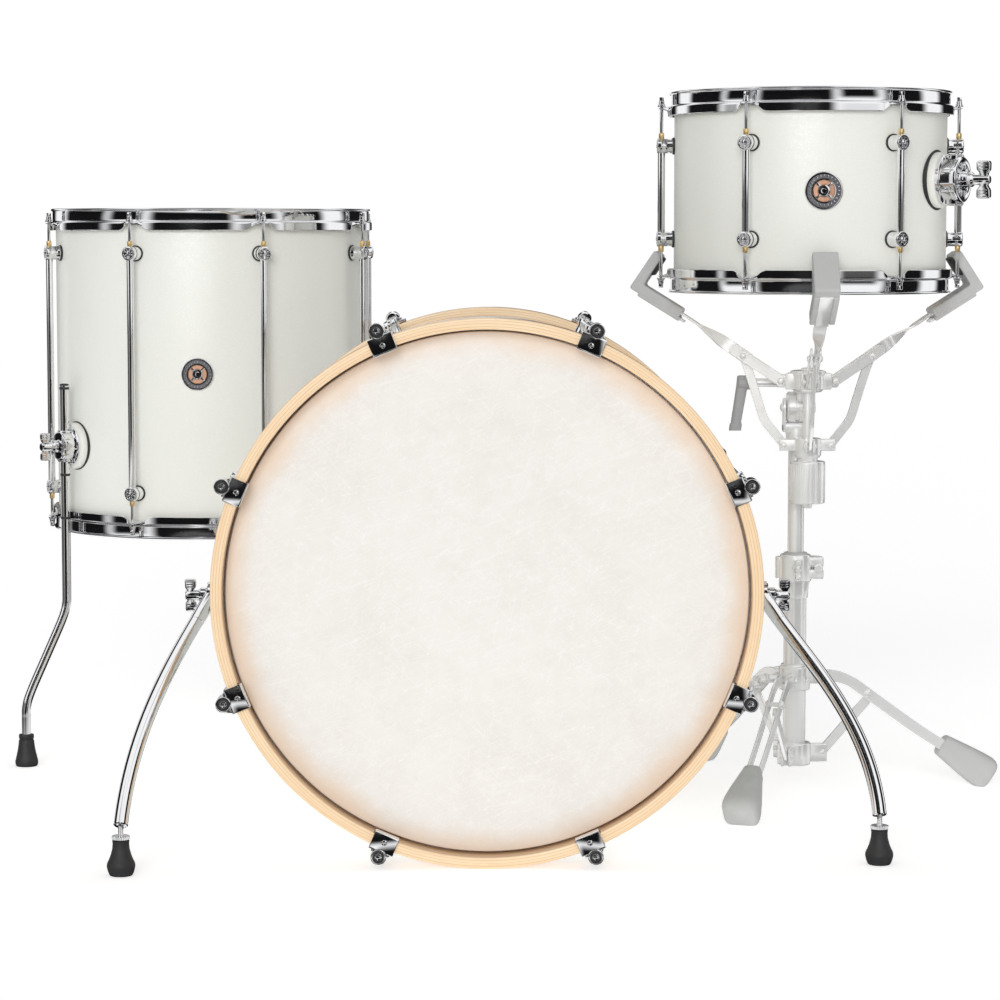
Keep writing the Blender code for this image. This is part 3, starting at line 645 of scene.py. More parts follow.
# Lifts a hoop's skirt at every lug and turns it out there into an ear
def hoopTree():
    bench, given, sockets = newTree("pressedHoop", (
        ("Geometry", "NodeSocketGeometry", None),
        ("Lugs", "NodeSocketInt", 8),
        ("First Angle", "NodeSocketFloat", 0.0),
        ("Radius", "NodeSocketFloat", 0.2),
        ("Shoulder", "NodeSocketFloat", -0.0095),
        ("Skirt Depth", "NodeSocketFloat", 0.0135),
        ("Ear Drop", "NodeSocketFloat", 0.0022),
        ("Ear Reach", "NodeSocketFloat", 0.012),
        ("Ear Half", "NodeSocketFloat", 0.0065),
        ("Arch Half", "NodeSocketFloat", 0.019),
        ("Finish", "NodeSocketMaterial", None)))
    spot = bench.node("GeometryNodeInputPosition")
    x, y, z = bench.axes(spot)
    reach = (x * x + y * y) ** 0.5
    angle = bench.maths("ARCTAN2", y, x)
    share = (angle - given["First Angle"]) * given["Lugs"] / (2 * math.pi) + 0.5
    share = bench.maths("FLOORED_MODULO", share, 1.0)
    offLug = bench.maths("ABSOLUTE", share - 0.5)
    run = offLug * (2 * math.pi) / given["Lugs"] * given["Radius"]
    depth = bench.maths("MAXIMUM", (given["Shoulder"] - z) / given["Skirt Depth"], 0.0)
    lifted = 1.0 - bench.between(given["Ear Half"], given["Arch Half"], run)
    flared = 1.0 - bench.between(given["Ear Half"] * 0.8, given["Ear Half"] * 1.9, run)
    rise = depth * lifted * (given["Skirt Depth"] - given["Ear Drop"])
    push = depth * flared * given["Ear Reach"]
    offset = bench.node("ShaderNodeCombineXYZ", None, {0: x / reach * push, 1: y / reach * push, 2: rise})
    pressed = bench.node("GeometryNodeSetPosition", None, {"Geometry": given["Geometry"], "Offset": offset})
    return closedTree(bench, pressed, given["Finish"]), sockets


ringOfCopies = ringTree()
pressedHoop = hoopTree()


# Runs a node tree on the host object and returns the result as a plain mesh
def grown(host, treeAndSockets, inputs):
    tree, sockets = treeAndSockets
    modifier = host.modifiers.new("Grow", "NODES")
    modifier.node_group = tree
    for label, value in inputs.items():
        modifier[sockets[label]] = value
    bpy.context.view_layer.update()
    graph = bpy.context.evaluated_depsgraph_get()
    mesh = bpy.data.meshes.new_from_object(host.evaluated_get(graph), depsgraph=graph)
    host.modifiers.clear()
    bpy.data.objects.remove(host, do_unlink=True)
    return mesh


# Copies of a form, built at azimuth 0, spread round the Z axis of place
def repeated(name, bm, count, firstAzimuth, finish, body, place, stands=(), angle=38.0):
    form = asObject(name + "Form", joined([bm]), angle)
    host = bpy.data.objects.new(name, bpy.data.meshes.new(name))
    bpy.context.scene.collection.objects.link(host)
    mesh = grown(host, ringOfCopies, {"Form": form, "Count": count, "Finish": finishes[finish],
                                      "First Angle": math.radians(firstAzimuth)})
    bpy.data.objects.remove(form, do_unlink=True)
    mesh.name = name
    mesh.transform(place)
    made = bpy.data.objects.new(name, mesh)
    bpy.context.scene.collection.objects.link(made)
    mesh.set_sharp_from_angle(angle=math.radians(angle))
    return settle(made, finish, body, stands)


# bass drum

bassLow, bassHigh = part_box("bass_shell")
hoopLow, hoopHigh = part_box("bass_front_hoop")
bass = {"radius": (bassHigh.x - bassLow.x) / 2, "half": (bassHigh.y - bassLow.y) / 2, "wall": 0.007,
        "hoopRadius": (hoopHigh.x - hoopLow.x) / 2, "hoopWall": 0.0125, "hoopWidth": hoopHigh.y - hoopLow.y,
        "overhang": bassLow.y - hoopLow.y, "lines": 8, "lineRadius": 0.3005, "tubeHalf": 0.168,
        "postAt": 0.150, "clawWidth": 0.0275, "clawWall": 0.0034, "clawGap": 0.0005, "clawSkirt": 0.0280,
        "clawLip": 0.0098, "rodRadius": 0.0027, "rodLong": 0.062}
newFinish("bassFilm", fibreSkin(bassMiddle, bass["radius"], "Y"))
newFinish("hoopMaple", hoopMaple(bassMiddle, bass["hoopRadius"] - bass["hoopWall"], bass["hoopWall"]))


# A wrapped wooden shell: the finish outside, the plies with their bearing edges inside
def drumShell(name, radius, wall, low, high, place, body, node, steps):
    skinWall, bare, edge = 0.0011, 0.0016, wall * 0.55
    outer = softened([(radius - skinWall, low + bare), (radius, low + bare), (radius, high - bare),
                      (radius - skinWall, high - bare)], 0.0004, 2)
    piece(name + "Wrap", lathe(outer, steps), "satinWrap", body, [node], place=place)
    under = radius - skinWall - 0.00005
    ply = softened([(under, low + bare), (under - 0.0012, low), (radius - wall + edge, low),
                    (radius - wall, low + edge), (radius - wall, high - edge), (radius - wall + edge, high),
                    (under - 0.0012, high), (under, high - bare)], 0.0008, 2)
    piece(name + "Ply", lathe(ply, steps), "shellPly", body, place=place)


# A film over an edge at z = 0, with a rounded collar, in its flesh hoop
def drumHead(name, radius, seat, bend, fleshTop, fleshHigh, fleshWall, place, body, node, finish, steps):
    top, film = 0.0011, 0.0008
    outside = [(0.0, top)] + [(seat * share, top) for share in (0.25, 0.5, 0.75, 0.92)]
    outside += arc((radius + seat - bend, top - bend), bend, 90, 0, 6)
    outside += [(radius + seat, fleshTop - 0.001), (radius + seat - film, fleshTop - 0.001)]
    inside = arc((radius + seat - bend, top - bend), bend - film, 0, 90, 6)
    inside += [(seat * share, top - film) for share in (0.92, 0.75, 0.5, 0.25)] + [(0.0, top - film)]
    seatFace = [(r if r > seat or r == 0.0 else r / seat * (radius - 0.004), z) for r, z in outside + inside]
    piece(name + "Film", lathe(seatFace, steps, False), finish, body, [node], place=place)
    inner = radius + 0.0004
    ring = softened([(inner, fleshTop), (inner + fleshWall, fleshTop),
                     (inner + fleshWall, fleshTop - fleshHigh), (inner, fleshTop - fleshHigh)], 0.0014, 4)
    piece(name + "FleshHoop", lathe(ring, steps), "aluminium", body, place=place)


def bassBody():
    half, hoop = bass["half"], bass["hoopRadius"]
    drumShell("bassShell", bass["radius"], bass["wall"], -half, half, bassFrame, "bass_drum", "bass_shell",
              192)
    for end, name in ((1, "Front"), (-1, "Rear")):
        facing = bassFrame @ (Matrix.Identity(4) if end > 0
                              else Matrix.Rotation(math.pi, 4, "X")) @ moved((0, 0, half))
        drumHead(f"bass{name}", bass["radius"], 0.0033, 0.0014, -0.0145, 0.006, 0.0072, facing, "bass_drum",
                 f"bass_{name.lower()}_head", "bassFilm", 192)
        top, low = bass["overhang"], bass["overhang"] - bass["hoopWidth"]
        ring = softened([(hoop, top), (hoop, low), (hoop - bass["hoopWall"], low),
                         (hoop - bass["hoopWall"], top)], 0.0022, 5)
        piece(f"bass{name}Hoop", lathe(ring, 192), "hoopMaple", "bass_drum",
              [f"bass_{name.lower()}_hoop"], place=facing)


lug = {"postRadius": 0.0092, "gasket": 0.0025, "gasketRadius": 0.0101, "tubeRadius": 0.0045,
       "nutRadius": 0.0033, "nutHigh": 0.0074, "rodRadius": 0.0021, "petals": 8, "bassReach": 0.0285,
       "tomReach": 0.0212}


def plainBar(radius, length, edge=0.0008):
    return [(0.0, 0.0), (radius - edge, 0.0)] + arc((radius - edge, edge), edge, -90, 0, 3)[1:] \
        + arc((radius - edge, length - edge), edge, 0, 90, 3) + [(0.0, length)]


# A post that stands out from the shell, with a ring of petals pressed in its cap
def lugPost(radius, z, reach):
    r = lug["postRadius"]
    start = radius + lug["gasket"] - 0.0004
    length = radius + reach - start
    outline = [(0.0, 0.0), (r * 0.98, 0.0), (r, 0.0008), (r * 0.93, 0.0022), (r * 0.93, length - 0.0085)]
    outline += [(r, length - 0.0072)] + arc((r - 0.0016, length - 0.0020), 0.0016, 0, 90, 4)
    outline += [(r * 0.74, length - 0.0004), (r * 0.70, length - 0.0016), (r * 0.34, length - 0.0016),
                (r * 0.30, length - 0.0002), (r * 0.15, length + 0.0005), (0.0, length + 0.0006)]
    parts = [facingBar(start, outline, 28, z)]
    end = Vector((0, -(radius + reach), z))
    for petal in range(lug["petals"]):
        angle = 2 * math.pi * (petal + 0.5) / lug["petals"]
        spin = Matrix.Rotation(angle, 4, "Y")
        at = end + Vector((math.sin(angle) * r * 0.52, 0.0012, math.cos(angle) * r * 0.52))
        parts.append(brick(at, (0.0017, 0.0020, 0.0030), 0.0005, 1, spin))
    return parts


def lugGasket(radius, z):
    return facingBar(radius - 0.0008, puck(lug["gasketRadius"], lug["gasket"] + 0.0006, 0.0005), 24, z)


# A drum rod's head: washer, collar and a square that takes the key
def keyHead(z, up):
    turn = Matrix.Identity(4) if up > 0 else Matrix.Rotation(math.pi, 4, "X")
    parts = [uprightBar(0, 0, puck(0.0052, 0.0012, 0.0004), 20),
             uprightBar(0, 0.0012, button(0.0043, 0.0022, 0.0007), 20),
             uprightBar(0, 0.0030, button(0.0034, 0.0040, 0.0005), 18),
             brick((0, 0, 0.0092), (0.0052, 0.0052, 0.0052), 0.0008, 2)]
    return [copied(part, moved((0, 0, z)) @ turn) for part in parts]


def bassTension():
    radius, line, half = bass["radius"], bass["lineRadius"], bass["half"]
    count, first = bass["lines"], 180.0 / bass["lines"]
    face = half + bass["overhang"]
    hoop, inner = bass["hoopRadius"], bass["hoopRadius"] - bass["hoopWall"]
    nodes = [f"bass_tension_line_{number + 1}" for number in range(count)]

    def ring(name, parts, finish, stands=()):
        repeated(name, joined(parts), count, first, finish, "bass_drum", bassFrame, stands)

    tubeLong = 2 * bass["tubeHalf"]
    ring("bassLugTubes", [uprightBar(line, -tubeLong / 2, plainBar(lug["tubeRadius"], tubeLong), 20)],
         "chrome", nodes)
    posts = lugPost(radius, -bass["postAt"], lug["bassReach"]) + lugPost(radius, bass["postAt"],
            lug["bassReach"])
    ring("bassLugPosts", posts, "chrome")
    ring("bassLugGaskets", [lugGasket(radius, -bass["postAt"]), lugGasket(radius, bass["postAt"])],
         "blackRubber")
    nut = uprightBar(line, bass["tubeHalf"] - 0.001, plainBar(lug["nutRadius"], lug["nutHigh"]), 14)
    ring("bassSwivelNuts", [bothEnds(nut)], "brass")
    rod = uprightBar(line + 0.0006, bass["tubeHalf"], plainBar(bass["rodRadius"], bass["rodLong"]), 16)
    ring("bassTensionRods", [bothEnds(rod)], "chrome")

    wall, wide, gap = bass["clawWall"], bass["clawWidth"], bass["clawGap"]
    skirt, lip = face - bass["clawSkirt"], face - bass["clawLip"]
    outside = [(hoop + gap + wall, skirt), (hoop + gap + wall, face + gap + wall),
               (inner - gap - wall, face + gap + wall), (inner - gap - wall, lip)]
    inside = [(inner - 0.0006, lip), (inner - 0.0006, face + gap), (hoop + gap, face + gap),
              (hoop + gap, skirt)]
    hook = slabOnEdge(softened(outside + inside, 0.0019, 4), wide, 0.0009)
    bossAt = line + 0.0042
    boss = [(0.0, 0.0), (0.0062, 0.0), (0.0085, 0.0050), (0.0085, 0.0290)] + arc((0.0075, 0.0300), 0.0010,
            0, 90, 3)
    boss += [(0.0068, 0.0310), (0.0062, 0.0298), (0.0062, 0.0278), (0.0, 0.0278)]
    socket = uprightBar(bossAt, face - 0.0250, boss, 28)
    ribs = [brick((side * 0.0088, -(hoop + 0.0048), face - 0.0130), (0.0034, 0.0042, 0.0250), 0.0012, 2)
            for side in (-1, 1)]
    screwAt = (hoop + inner) / 2 - 0.0012
    screw = uprightBar(screwAt, face + wall, button(0.0031, 0.0018, 0.0008, 0.0004), 20)
    slot = brick((0, -screwAt, face + wall + 0.0022), (0.0042, 0.0009, 0.0007), 0.0002, 1)
    ring("bassClaws", [bothEnds(joined([hook, socket, screw, slot] + ribs))], "chrome")
    rim = softened([(0.0030, 0.0), (0.0060, 0.0), (0.0060, 0.0016), (0.0030, 0.0016)], 0.0004, 2)
    washer = uprightBar(bossAt, face + 0.0026, rim, 20)
    ring("bassRodWashers", [bothEnds(washer)], "blackRubber")
    head = joined([uprightBar(bossAt, face + 0.0038, button(0.0038, 0.0016, 0.0005), 20),
                   brick((0, -bossAt, face + 0.0074), (0.0050, 0.0050, 0.0062), 0.0008, 2)])
    ring("bassRodHeads", [bothEnds(head)], "chrome")
    lining = softened([(inner - 0.0006, face - 0.0120), (inner - 0.0001, face - 0.0120),
                       (inner - 0.0001, face + 0.0002), (inner - 0.0006, face + 0.0002)], 0.0001, 1)
    ring("bassClawLiners", [bothEnds(slabOnEdge(lining, wide + 0.0016, 0.0002, 1))], "blackRubber")


# bass drum spurs

# the teeth are the ratchet face that the leg's knuckle bites
spur = {"tube": 0.0079, "step": 0.0100, "kneeHigh": 0.053, "footTop": 0.0385, "bracket": 0.0262,
        "teeth": 28, "bolts": 3, "stud": 0.0352, "pitch": 0.0016}


# A short cylinder with a knurled rim, along Z
def knurled(radius, length, teeth, depth=0.0004, edge=0.0006):
    sides = teeth * 4
    rings = []
    for z, scale in ((0.0, 0.93), (edge, 1.0), (length - edge, 1.0), (length, 0.93)):
        ring = []
        for step in range(sides):
            angle = 2 * math.pi * step / sides
            r = (radius - (depth if step % 4 in (0, 1) else 0.0)) * scale
            ring.append((r * math.cos(angle), r * math.sin(angle), z))
        rings.append(ring)
    return loft(rings)


# hub radius, hub length, span, lobe length and lobe thickness
wings = {"spur": (0.0082, 0.0120, 0.0370, 0.0118, 0.0058),
         "floorTom": (0.0086, 0.0110, 0.0350, 0.0118, 0.0060),
         "rackTom": (0.0086, 0.0150, 0.0440, 0.0150, 0.0084),
         "collar": (0.0066, 0.0070, 0.0280, 0.0080, 0.0050),
         "height": (0.0062, 0.0100, 0.0250, 0.0100, 0.0056)}


# A winged bolt head along -Y: hub, two lobes and the finger ridges on them
def wingForm(start, size):
    hubRadius, hubLong, span, lobe, thick = wings[size]
    out = start + hubLong
    hub = [(0.0, 0.0), (hubRadius * 0.86, 0.0), (hubRadius, 0.0012), (hubRadius, hubLong * 0.55),
           (hubRadius * 0.74, hubLong * 0.72), (hubRadius * 0.70, hubLong + lobe * 0.80)]
    hub += [(hubRadius * 0.5, hubLong + lobe * 0.98), (0.0, hubLong + lobe)]
    parts = [facingBar(start, hub, 24)]
    half = span / 2
    for up in (1, -1):
        outline = [(out + lobe * 0.15, -0.001), (out + lobe * 0.18, half * 0.36),
                   (out - lobe * 0.05, half * 0.52), (out - lobe * 0.06, half * 0.93),
                   (out + lobe * 0.10, half), (out + lobe * 0.90, half), (out + lobe * 1.02, half * 0.90),
                   (out + lobe * 1.0, half * 0.50), (out + lobe * 0.80, half * 0.34),
                   (out + lobe * 0.84, -0.001)]
        outline = [(a, b * up) for a, b in outline]
        parts.append(slabOnEdge(softened(outline[::up], 0.0018, 4), thick, 0.0014, 3))
        ridge = (thick * 1.32, lobe * 0.72, half * 0.075)
        for share in (0.56, 0.72, 0.88):
            parts.append(brick((0, -(out + lobe * 0.48), half * share * up), ridge, 0.0006, 2))
    return joined(parts)


def bassSpur(side):
    pivot = jointPlace(f"spur_{side}_fold")
    footLow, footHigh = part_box(f"spur_{side}_foot")
    toe = Vector((*((footLow + footHigh) / 2).xy, 0.0))
    sign = -1 if side == "left" else 1
    title = side.capitalize()
    outward = moved(pivot) @ Matrix.Rotation(sign * math.pi / 2, 4, "Y")  # local Z points away from the drum

    shellAt = -(abs(pivot.x - bassMiddle.x) - bass["radius"])
    gasket = copied(lathe(puck(spur["bracket"] + 0.0010, 0.0028), 48), moved((0, 0, shellAt - 0.0016)))
    piece(f"spur{title}Gasket", gasket, "blackRubber", "bass_drum", place=outward)
    dome = [(0.0, shellAt + 0.0008), (spur["bracket"], shellAt + 0.0008),
            (spur["bracket"], shellAt + 0.0034)]
    dome += arc((spur["bracket"] - 0.0030, shellAt + 0.0034), 0.0030, 0, 90, 5)[1:]
    dome += [(0.0188, shellAt + 0.0070), (0.0176, shellAt + 0.0086), (0.0165, shellAt + 0.0120),
             (0.0165, -0.0082), (0.0152, -0.0066), (0.0, -0.0066)]
    teeth = spun(brick((0.0118, 0, -0.0062), (0.0070, 0.0016, 0.0014), 0.0004, 1), spur["teeth"])
    bolt = roundBar((0.0218, 0, shellAt + 0.0058), (0.0218, 0, 1), button(0.0028, 0.0016, 0.0006), 16)
    bolts = spun(bolt, spur["bolts"], "Z", 0.25)
    piece(f"spur{title}Bracket", joined([lathe(dome, 56)] + teeth + bolts), "chrome", "bass_drum",
          [f"spur_{side}_bracket"], place=outward)

    run = abs(toe.x - bassMiddle.x) - abs(pivot.x - bassMiddle.x)
    drop = pivot.z - spur["kneeHigh"]
    forward = (toe.y - pivot.y + spur["step"]) / drop

    def at(reach, fall):
        return Vector((sign * reach, -fall * forward - spur["step"], fall))

    ends = (at(0.0, 0.0), at(0.029, -0.052), at(run - 0.006, -0.122), at(run, -drop))
    path = []
    for step in range(33):
        t = step / 32
        s = 1.0 - t
        path.append(ends[0] * s ** 3 + ends[1] * 3 * s * s * t + ends[2] * 3 * s * t * t + ends[3] * t ** 3)
    bar = tube(path[3:], spur["tube"], 28)
    eye = roundBar((-sign * 0.0050, 0, 0), (sign * 0.0050, 0, 0),
                   [(0.0, 0.0), (0.0136, 0.0), (0.0150, 0.0014), (0.0150, 0.0086), (0.0136, 0.0100),
                    (0.0, 0.0100)], 40)
    neck = tube([path[0] * 0.8, path[2], path[5]], [0.0078, 0.0084, spur["tube"] * 1.04], 24)
    knee = path[-1]
    thread = [(0.0, 0.0)]
    for turn in range(round(spur["stud"] / spur["pitch"])):
        thread += [(0.0026, turn * spur["pitch"]), (0.0031, (turn + 0.5) * spur["pitch"])]
    thread += [(0.0, spur["stud"])]
    stud = roundBar(knee + Vector((0, 0, 0.001)), knee - Vector((0, 0, 1)), thread, 20)
    piece(f"spur{title}Leg", joined([bar, eye, neck, stud]), "chrome", f"spur_{side}",
          [f"spur_{side}_leg"], place=moved(pivot))

    top = spur["footTop"]
    boot = [(0.0, top - 0.0002), (0.0082, top - 0.0002), (0.0092, top - 0.0012), (0.0088, top - 0.0040),
            (0.0092, 0.0290), (0.0112, 0.0215)]
    boot += smoothRun([(0.0128, 0.0175), (0.0147, 0.0135), (0.0152, 0.0108), (0.0150, 0.0085),
                       (0.0138, 0.0040), (0.0124, 0.0008)], 3)
    boot += [(0.0116, 0.0), (0.0, 0.0)]
    piece(f"spur{title}Foot", lathe(boot, 40), "blackRubber", f"spur_{side}_toe",
          [f"spur_{side}_foot"], place=moved(toe))
    nut = knurled(0.0100, 0.0042, 26)
    piece(f"spur{title}FootNut", nut, "chrome", f"spur_{side}_toe",
          place=moved(toe + Vector((0, 0, top))))

    lean = Matrix.Rotation(sign * math.pi / 2, 4, "Z")  # the wing form's -Y goes outward
    tip = Matrix.Rotation(math.radians(14), 4, "X")
    grip = wingForm(0.0058, "spur")
    piece(f"spur{title}Knob", grip, "chrome", f"spur_{side}_clamp", [f"spur_{side}_knob"],
          place=moved(pivot) @ tip @ lean)


def smoothRun(points, steps):
    return [(p.x, p.y) for p in smoothPath([(r, z, 0) for r, z in points], steps)]


bassBody()
bassTension()
bassSpur("left")
bassSpur("right")
print("bass drum made")


# toms

floorTom = {"body": "floor_tom", "name": "floorTom", "radius": 0.2032, "wall": 0.006,
            "depth": floorTomHigh.z - floorTomLow.z, "lugs": 8, "firstLug": 22.5, "postInset": 0.052,
            "badge": 0.0205, "steps": 160}
rackTom = {"body": "rack_tom", "name": "rackTom", "radius": 0.1620, "wall": 0.006,
           "depth": rackTomHigh.z - rackTomLow.z, "lugs": 6, "firstLug": 30.0, "postInset": 0.0585,
           "badge": 0.0220, "steps": 144}
press = {"flange": 0.0060, "wall": 0.0023, "rim": 0.0050, "shoulder": -0.0112, "skirtOut": 0.0056,
         "low": -0.0230, "lugOut": 0.0155, "earTop": -0.0125}


# A triple flange hoop: rolled rim, wall, shoulder and a skirt that arches up to an ear at each lug
def tomHoop(tom, place, node, name):
    radius, wall = tom["radius"], press["wall"]
    inner, skirt = radius + 0.0016, radius + press["skirtOut"]
    rim, shoulder, low = press["rim"], press["shoulder"], press["low"]
    outline = arc((inner + 0.0016, rim - 0.0016), 0.0016, 180, 90, 3)
    outline += arc((radius + press["flange"] - 0.0014, rim - 0.0014), 0.0014, 90, -70, 6)
    outline += [(inner + wall + 0.0003, rim - 0.0032), (inner + wall, rim - 0.0040),
                (inner + wall, shoulder + 0.0020)]
    outline += arc((inner + wall + 0.0015, shoulder + 0.0010), 0.0015, 180, 250, 3)
    outline += arc((skirt + wall - 0.0024, shoulder - 0.0028), 0.0024, 85, 0, 5)
    rows = 9
    for row in range(1, rows + 1):
        outline.append((skirt + wall, shoulder - 0.0028 + (low + 0.0006 - shoulder + 0.0028) * row / rows))
    outline += arc((skirt + wall / 2, low + 0.0008), wall / 2 * 0.9, 0, -180, 5)
    for row in range(rows + 1):
        outline.append((skirt, low + 0.0010 + (shoulder - 0.0042 - low - 0.0010) * row / rows))
    outline += [(skirt - 0.0008, shoulder - 0.0026), (inner + 0.0004, shoulder - 0.0022),
                (inner, shoulder - 0.0012)]
    host = asObject(name, lathe(outline, 360), 30)
    mesh = grown(host, pressedHoop, {"Lugs": tom["lugs"], "Radius": radius, "Finish": finishes["chrome"],
                                     "First Angle": math.radians(tom["firstLug"] - 90.0),
                                     "Shoulder": shoulder - 0.0010, "Skirt Depth": shoulder - low - 0.0010})
    bm = bmesh.new()
    bm.from_mesh(mesh)
    bpy.data.meshes.remove(mesh)
    piece(name, bm, "chrome", tom["body"], [node], 34, place)


# A generic round plate bent to the shell: rims, ticks and a copper field round the air hole
def tomBadge(tom, foot):
    radius, size = tom["radius"], tom["badge"]

    def bent(bm):
        for vertex in bm.verts:
            x, z, high = vertex.co.x, vertex.co.y, vertex.co.z
            vertex.co = (x, -math.sqrt((radius + high) ** 2 - x * x), z)
        return bm

    plate = [(0.0, 0.0002), (size, 0.0002)] + arc((size - 0.0012, 0.0016), 0.0012, 0, 90, 5)
    plate += [(size * 0.90, 0.0027), (size * 0.87, 0.0012), (size * 0.66, 0.0012), (size * 0.63, 0.0025),
              (size * 0.585, 0.0025), (size * 0.555, 0.0010), (size * 0.33, 0.0010), (size * 0.30, 0.0026),
              (size * 0.24, 0.0030), (size * 0.13, 0.0026), (size * 0.11, 0.0004), (0.0, 0.0004)]
    parts = [lathe(plate, 72, False)]
    for third in range(3):  # one long tick, then two short ones
        long, wide = (0.165, 0.050) if third == 0 else (0.125, 0.072)
        tick = brick((size * 0.765, 0, 0.0016), (size * long, size * wide, 0.0014), 0.0004, 2)
        parts += spun(tick, 8, "Z", third / 3)
    parts += spun(brick((size * 0.44, 0, 0.0016), (size * 0.30, size * 0.13, 0.0016), 0.0005, 2), 4, "Z",
                  0.5)
    place = moved(foot + Vector((0, 0, tom["depth"] / 2)))
    piece(tom["name"] + "Badge", bent(joined(parts)), "chrome", tom["body"], place=place)
    dark = [(size * 0.665, 0.00125), (size * 0.865, 0.00125), (size * 0.865, 0.00145),
            (size * 0.665, 0.00145)]
    piece(tom["name"] + "BadgeBand", bent(lathe(dark, 72)), "darkSteel", tom["body"], place=place)
    field = [(size * 0.335, 0.0011), (size * 0.550, 0.0011), (size * 0.550, 0.00135),
             (size * 0.335, 0.00135)]
    piece(tom["name"] + "BadgeField", bent(lathe(field, 72)), "copperEnamel", tom["body"],
          place=place)


def tomDrum(tom, foot):
    radius, depth, name, body = tom["radius"], tom["depth"], tom["name"], tom["body"]
    drumShell(name + "Shell", radius, tom["wall"], 0.0, depth, moved(foot), body, body + "_shell",
              tom["steps"])
    for end, title in ((1, "top"), (-1, "bottom")):
        facing = moved((foot.x, foot.y, foot.z + (depth if end > 0 else 0.0)))
        facing = facing if end > 0 else facing @ Matrix.Rotation(math.pi, 4, "X")
        drumHead(name + title.capitalize(), radius, 0.0011, 0.0030, -0.0112, 0.0055, 0.0040, facing, body,
                 f"{body}_{title}_head", name + "Film", tom["steps"])
        tomHoop(tom, facing, f"{body}_{title}_hoop", f"{name}{title.capitalize()}Hoop")

    middle = foot + Vector((0, 0, depth / 2))
    half, inset, out = depth / 2, tom["postInset"], radius + press["lugOut"]

    def ring(title, parts, finish):
        repeated(name + title, joined(parts), tom["lugs"], tom["firstLug"], finish, body,
                 moved(middle))

    post = half - inset
    tubeLong = 2 * (post + 0.004)
    ring("LugTubes", [uprightBar(out, -tubeLong / 2, plainBar(lug["tubeRadius"], tubeLong), 20)], "chrome")
    ring("LugPosts", lugPost(radius, -post, lug["tomReach"]) + lugPost(radius, post, lug["tomReach"]),
         "chrome")
    ring("LugGaskets", [lugGasket(radius, -post), lugGasket(radius, post)], "blackRubber")
    nut = uprightBar(out, post + lug["postRadius"] - 0.0012, plainBar(lug["nutRadius"], lug["nutHigh"]), 16)
    ring("SwivelNuts", [bothEnds(nut)], "brass")
    rodFrom = post + lug["postRadius"] + 0.004
    rod = uprightBar(out, rodFrom, plainBar(lug["rodRadius"], half + press["earTop"] - rodFrom), 16)
    ring("TensionRods", [bothEnds(rod)], "chrome")
    head = joined(keyHead(half + press["earTop"] + 0.0002, 1), moved((0, -out, 0)))
    ring("RodHeads", [bothEnds(head)], "chrome")
    tomBadge(tom, foot)


newFinish("floorTomFilm", fibreSkin(floorTomFoot, floorTom["radius"], "Z"))
newFinish("rackTomFilm", fibreSkin(rackTomFoot, rackTom["radius"], "Z"))
tomDrum(floorTom, floorTomFoot)
tomDrum(rackTom, rackTomFoot)
print("toms made")


# floor tom legs and their brackets

leg = {"rod": 0.0059, "axis": 0.2205, "toe": 0.281, "top": 0.4866, "bendTop": 0.200, "bendLow": 0.080,
       "footHigh": 0.041, "wingOut": 0.0290, "marks": (0.4825, 0.3715, 0.3160), "markHalf": 0.0016}


# radius and height of the gasket, and of the wrapped plate on it; how deep the gasket starts in the wrap
legBase = {"gasket": (0.0312, 0.0034), "plate": (0.0298, 0.0078), "sunk": 0.0026, "steps": (48, 56)}
rackBase = {"gasket": (0.0352, 0.0048), "plate": (0.0326, 0.0088), "sunk": 0.0040, "steps": (56, 64)}


# A bracket's round base against a shell
def bracketBase(name, tom, base, place, stands=()):
    gasket = facingBar(tom["radius"] - base["sunk"], puck(*base["gasket"]), base["steps"][0])
    piece(name + "Gasket", gasket, "blackRubber", tom["body"], place=place)
    radius, reach = base["plate"]
    curve = arc((radius - 0.0022, reach - 0.0022), 0.0022, 0, 90, 5)[1:]
    outline = [(0.0, 0.0), (radius, 0.0), (radius, reach - 0.0022)] + curve + [(0.0, reach)]
    plate = facingBar(tom["radius"] + 0.0004, outline, base["steps"][1])
    piece(name + "Base", plate, "satinWrap", tom["body"], stands, place=place)


def legBracket(number, azimuth, height):
    radius = floorTom["radius"]
    place = moved((floorTomFoot.x, floorTomFoot.y, height)) @ turned(azimuth)
    bracketBase(f"legBracket{number}", floorTom, legBase, place)
    housing = [(0.0, 0.0), (0.0236, 0.0), (0.0246, 0.0010), (0.0246, 0.0034), (0.0232, 0.0046),
               (0.0202, 0.0050), (0.0190, 0.0064), (0.0190, 0.0150)] + arc((0.0160, 0.0180), 0.0030, 0, 90,
            5) + [(0.0, 0.0216)]
    parts = [facingBar(radius + 0.0070, housing, 48),
             uprightBar(leg["axis"], -0.0200, plainBar(0.0098, 0.0400, 0.0016), 28)]
    parts += [brick((side * 0.0145, -leg["axis"] - 0.0020, 0), (0.0048, 0.0200, 0.0230), 0.0016, 3)
              for side in (-1, 1)]
    parts += spun(brick((0.0216, -(radius + 0.0112), 0), (0.0040, 0.0026, 0.0030), 0.0007, 1), 10, "Y")
    piece(f"legBracket{number}Housing", joined(parts), "chrome", "floor_tom", place=place)


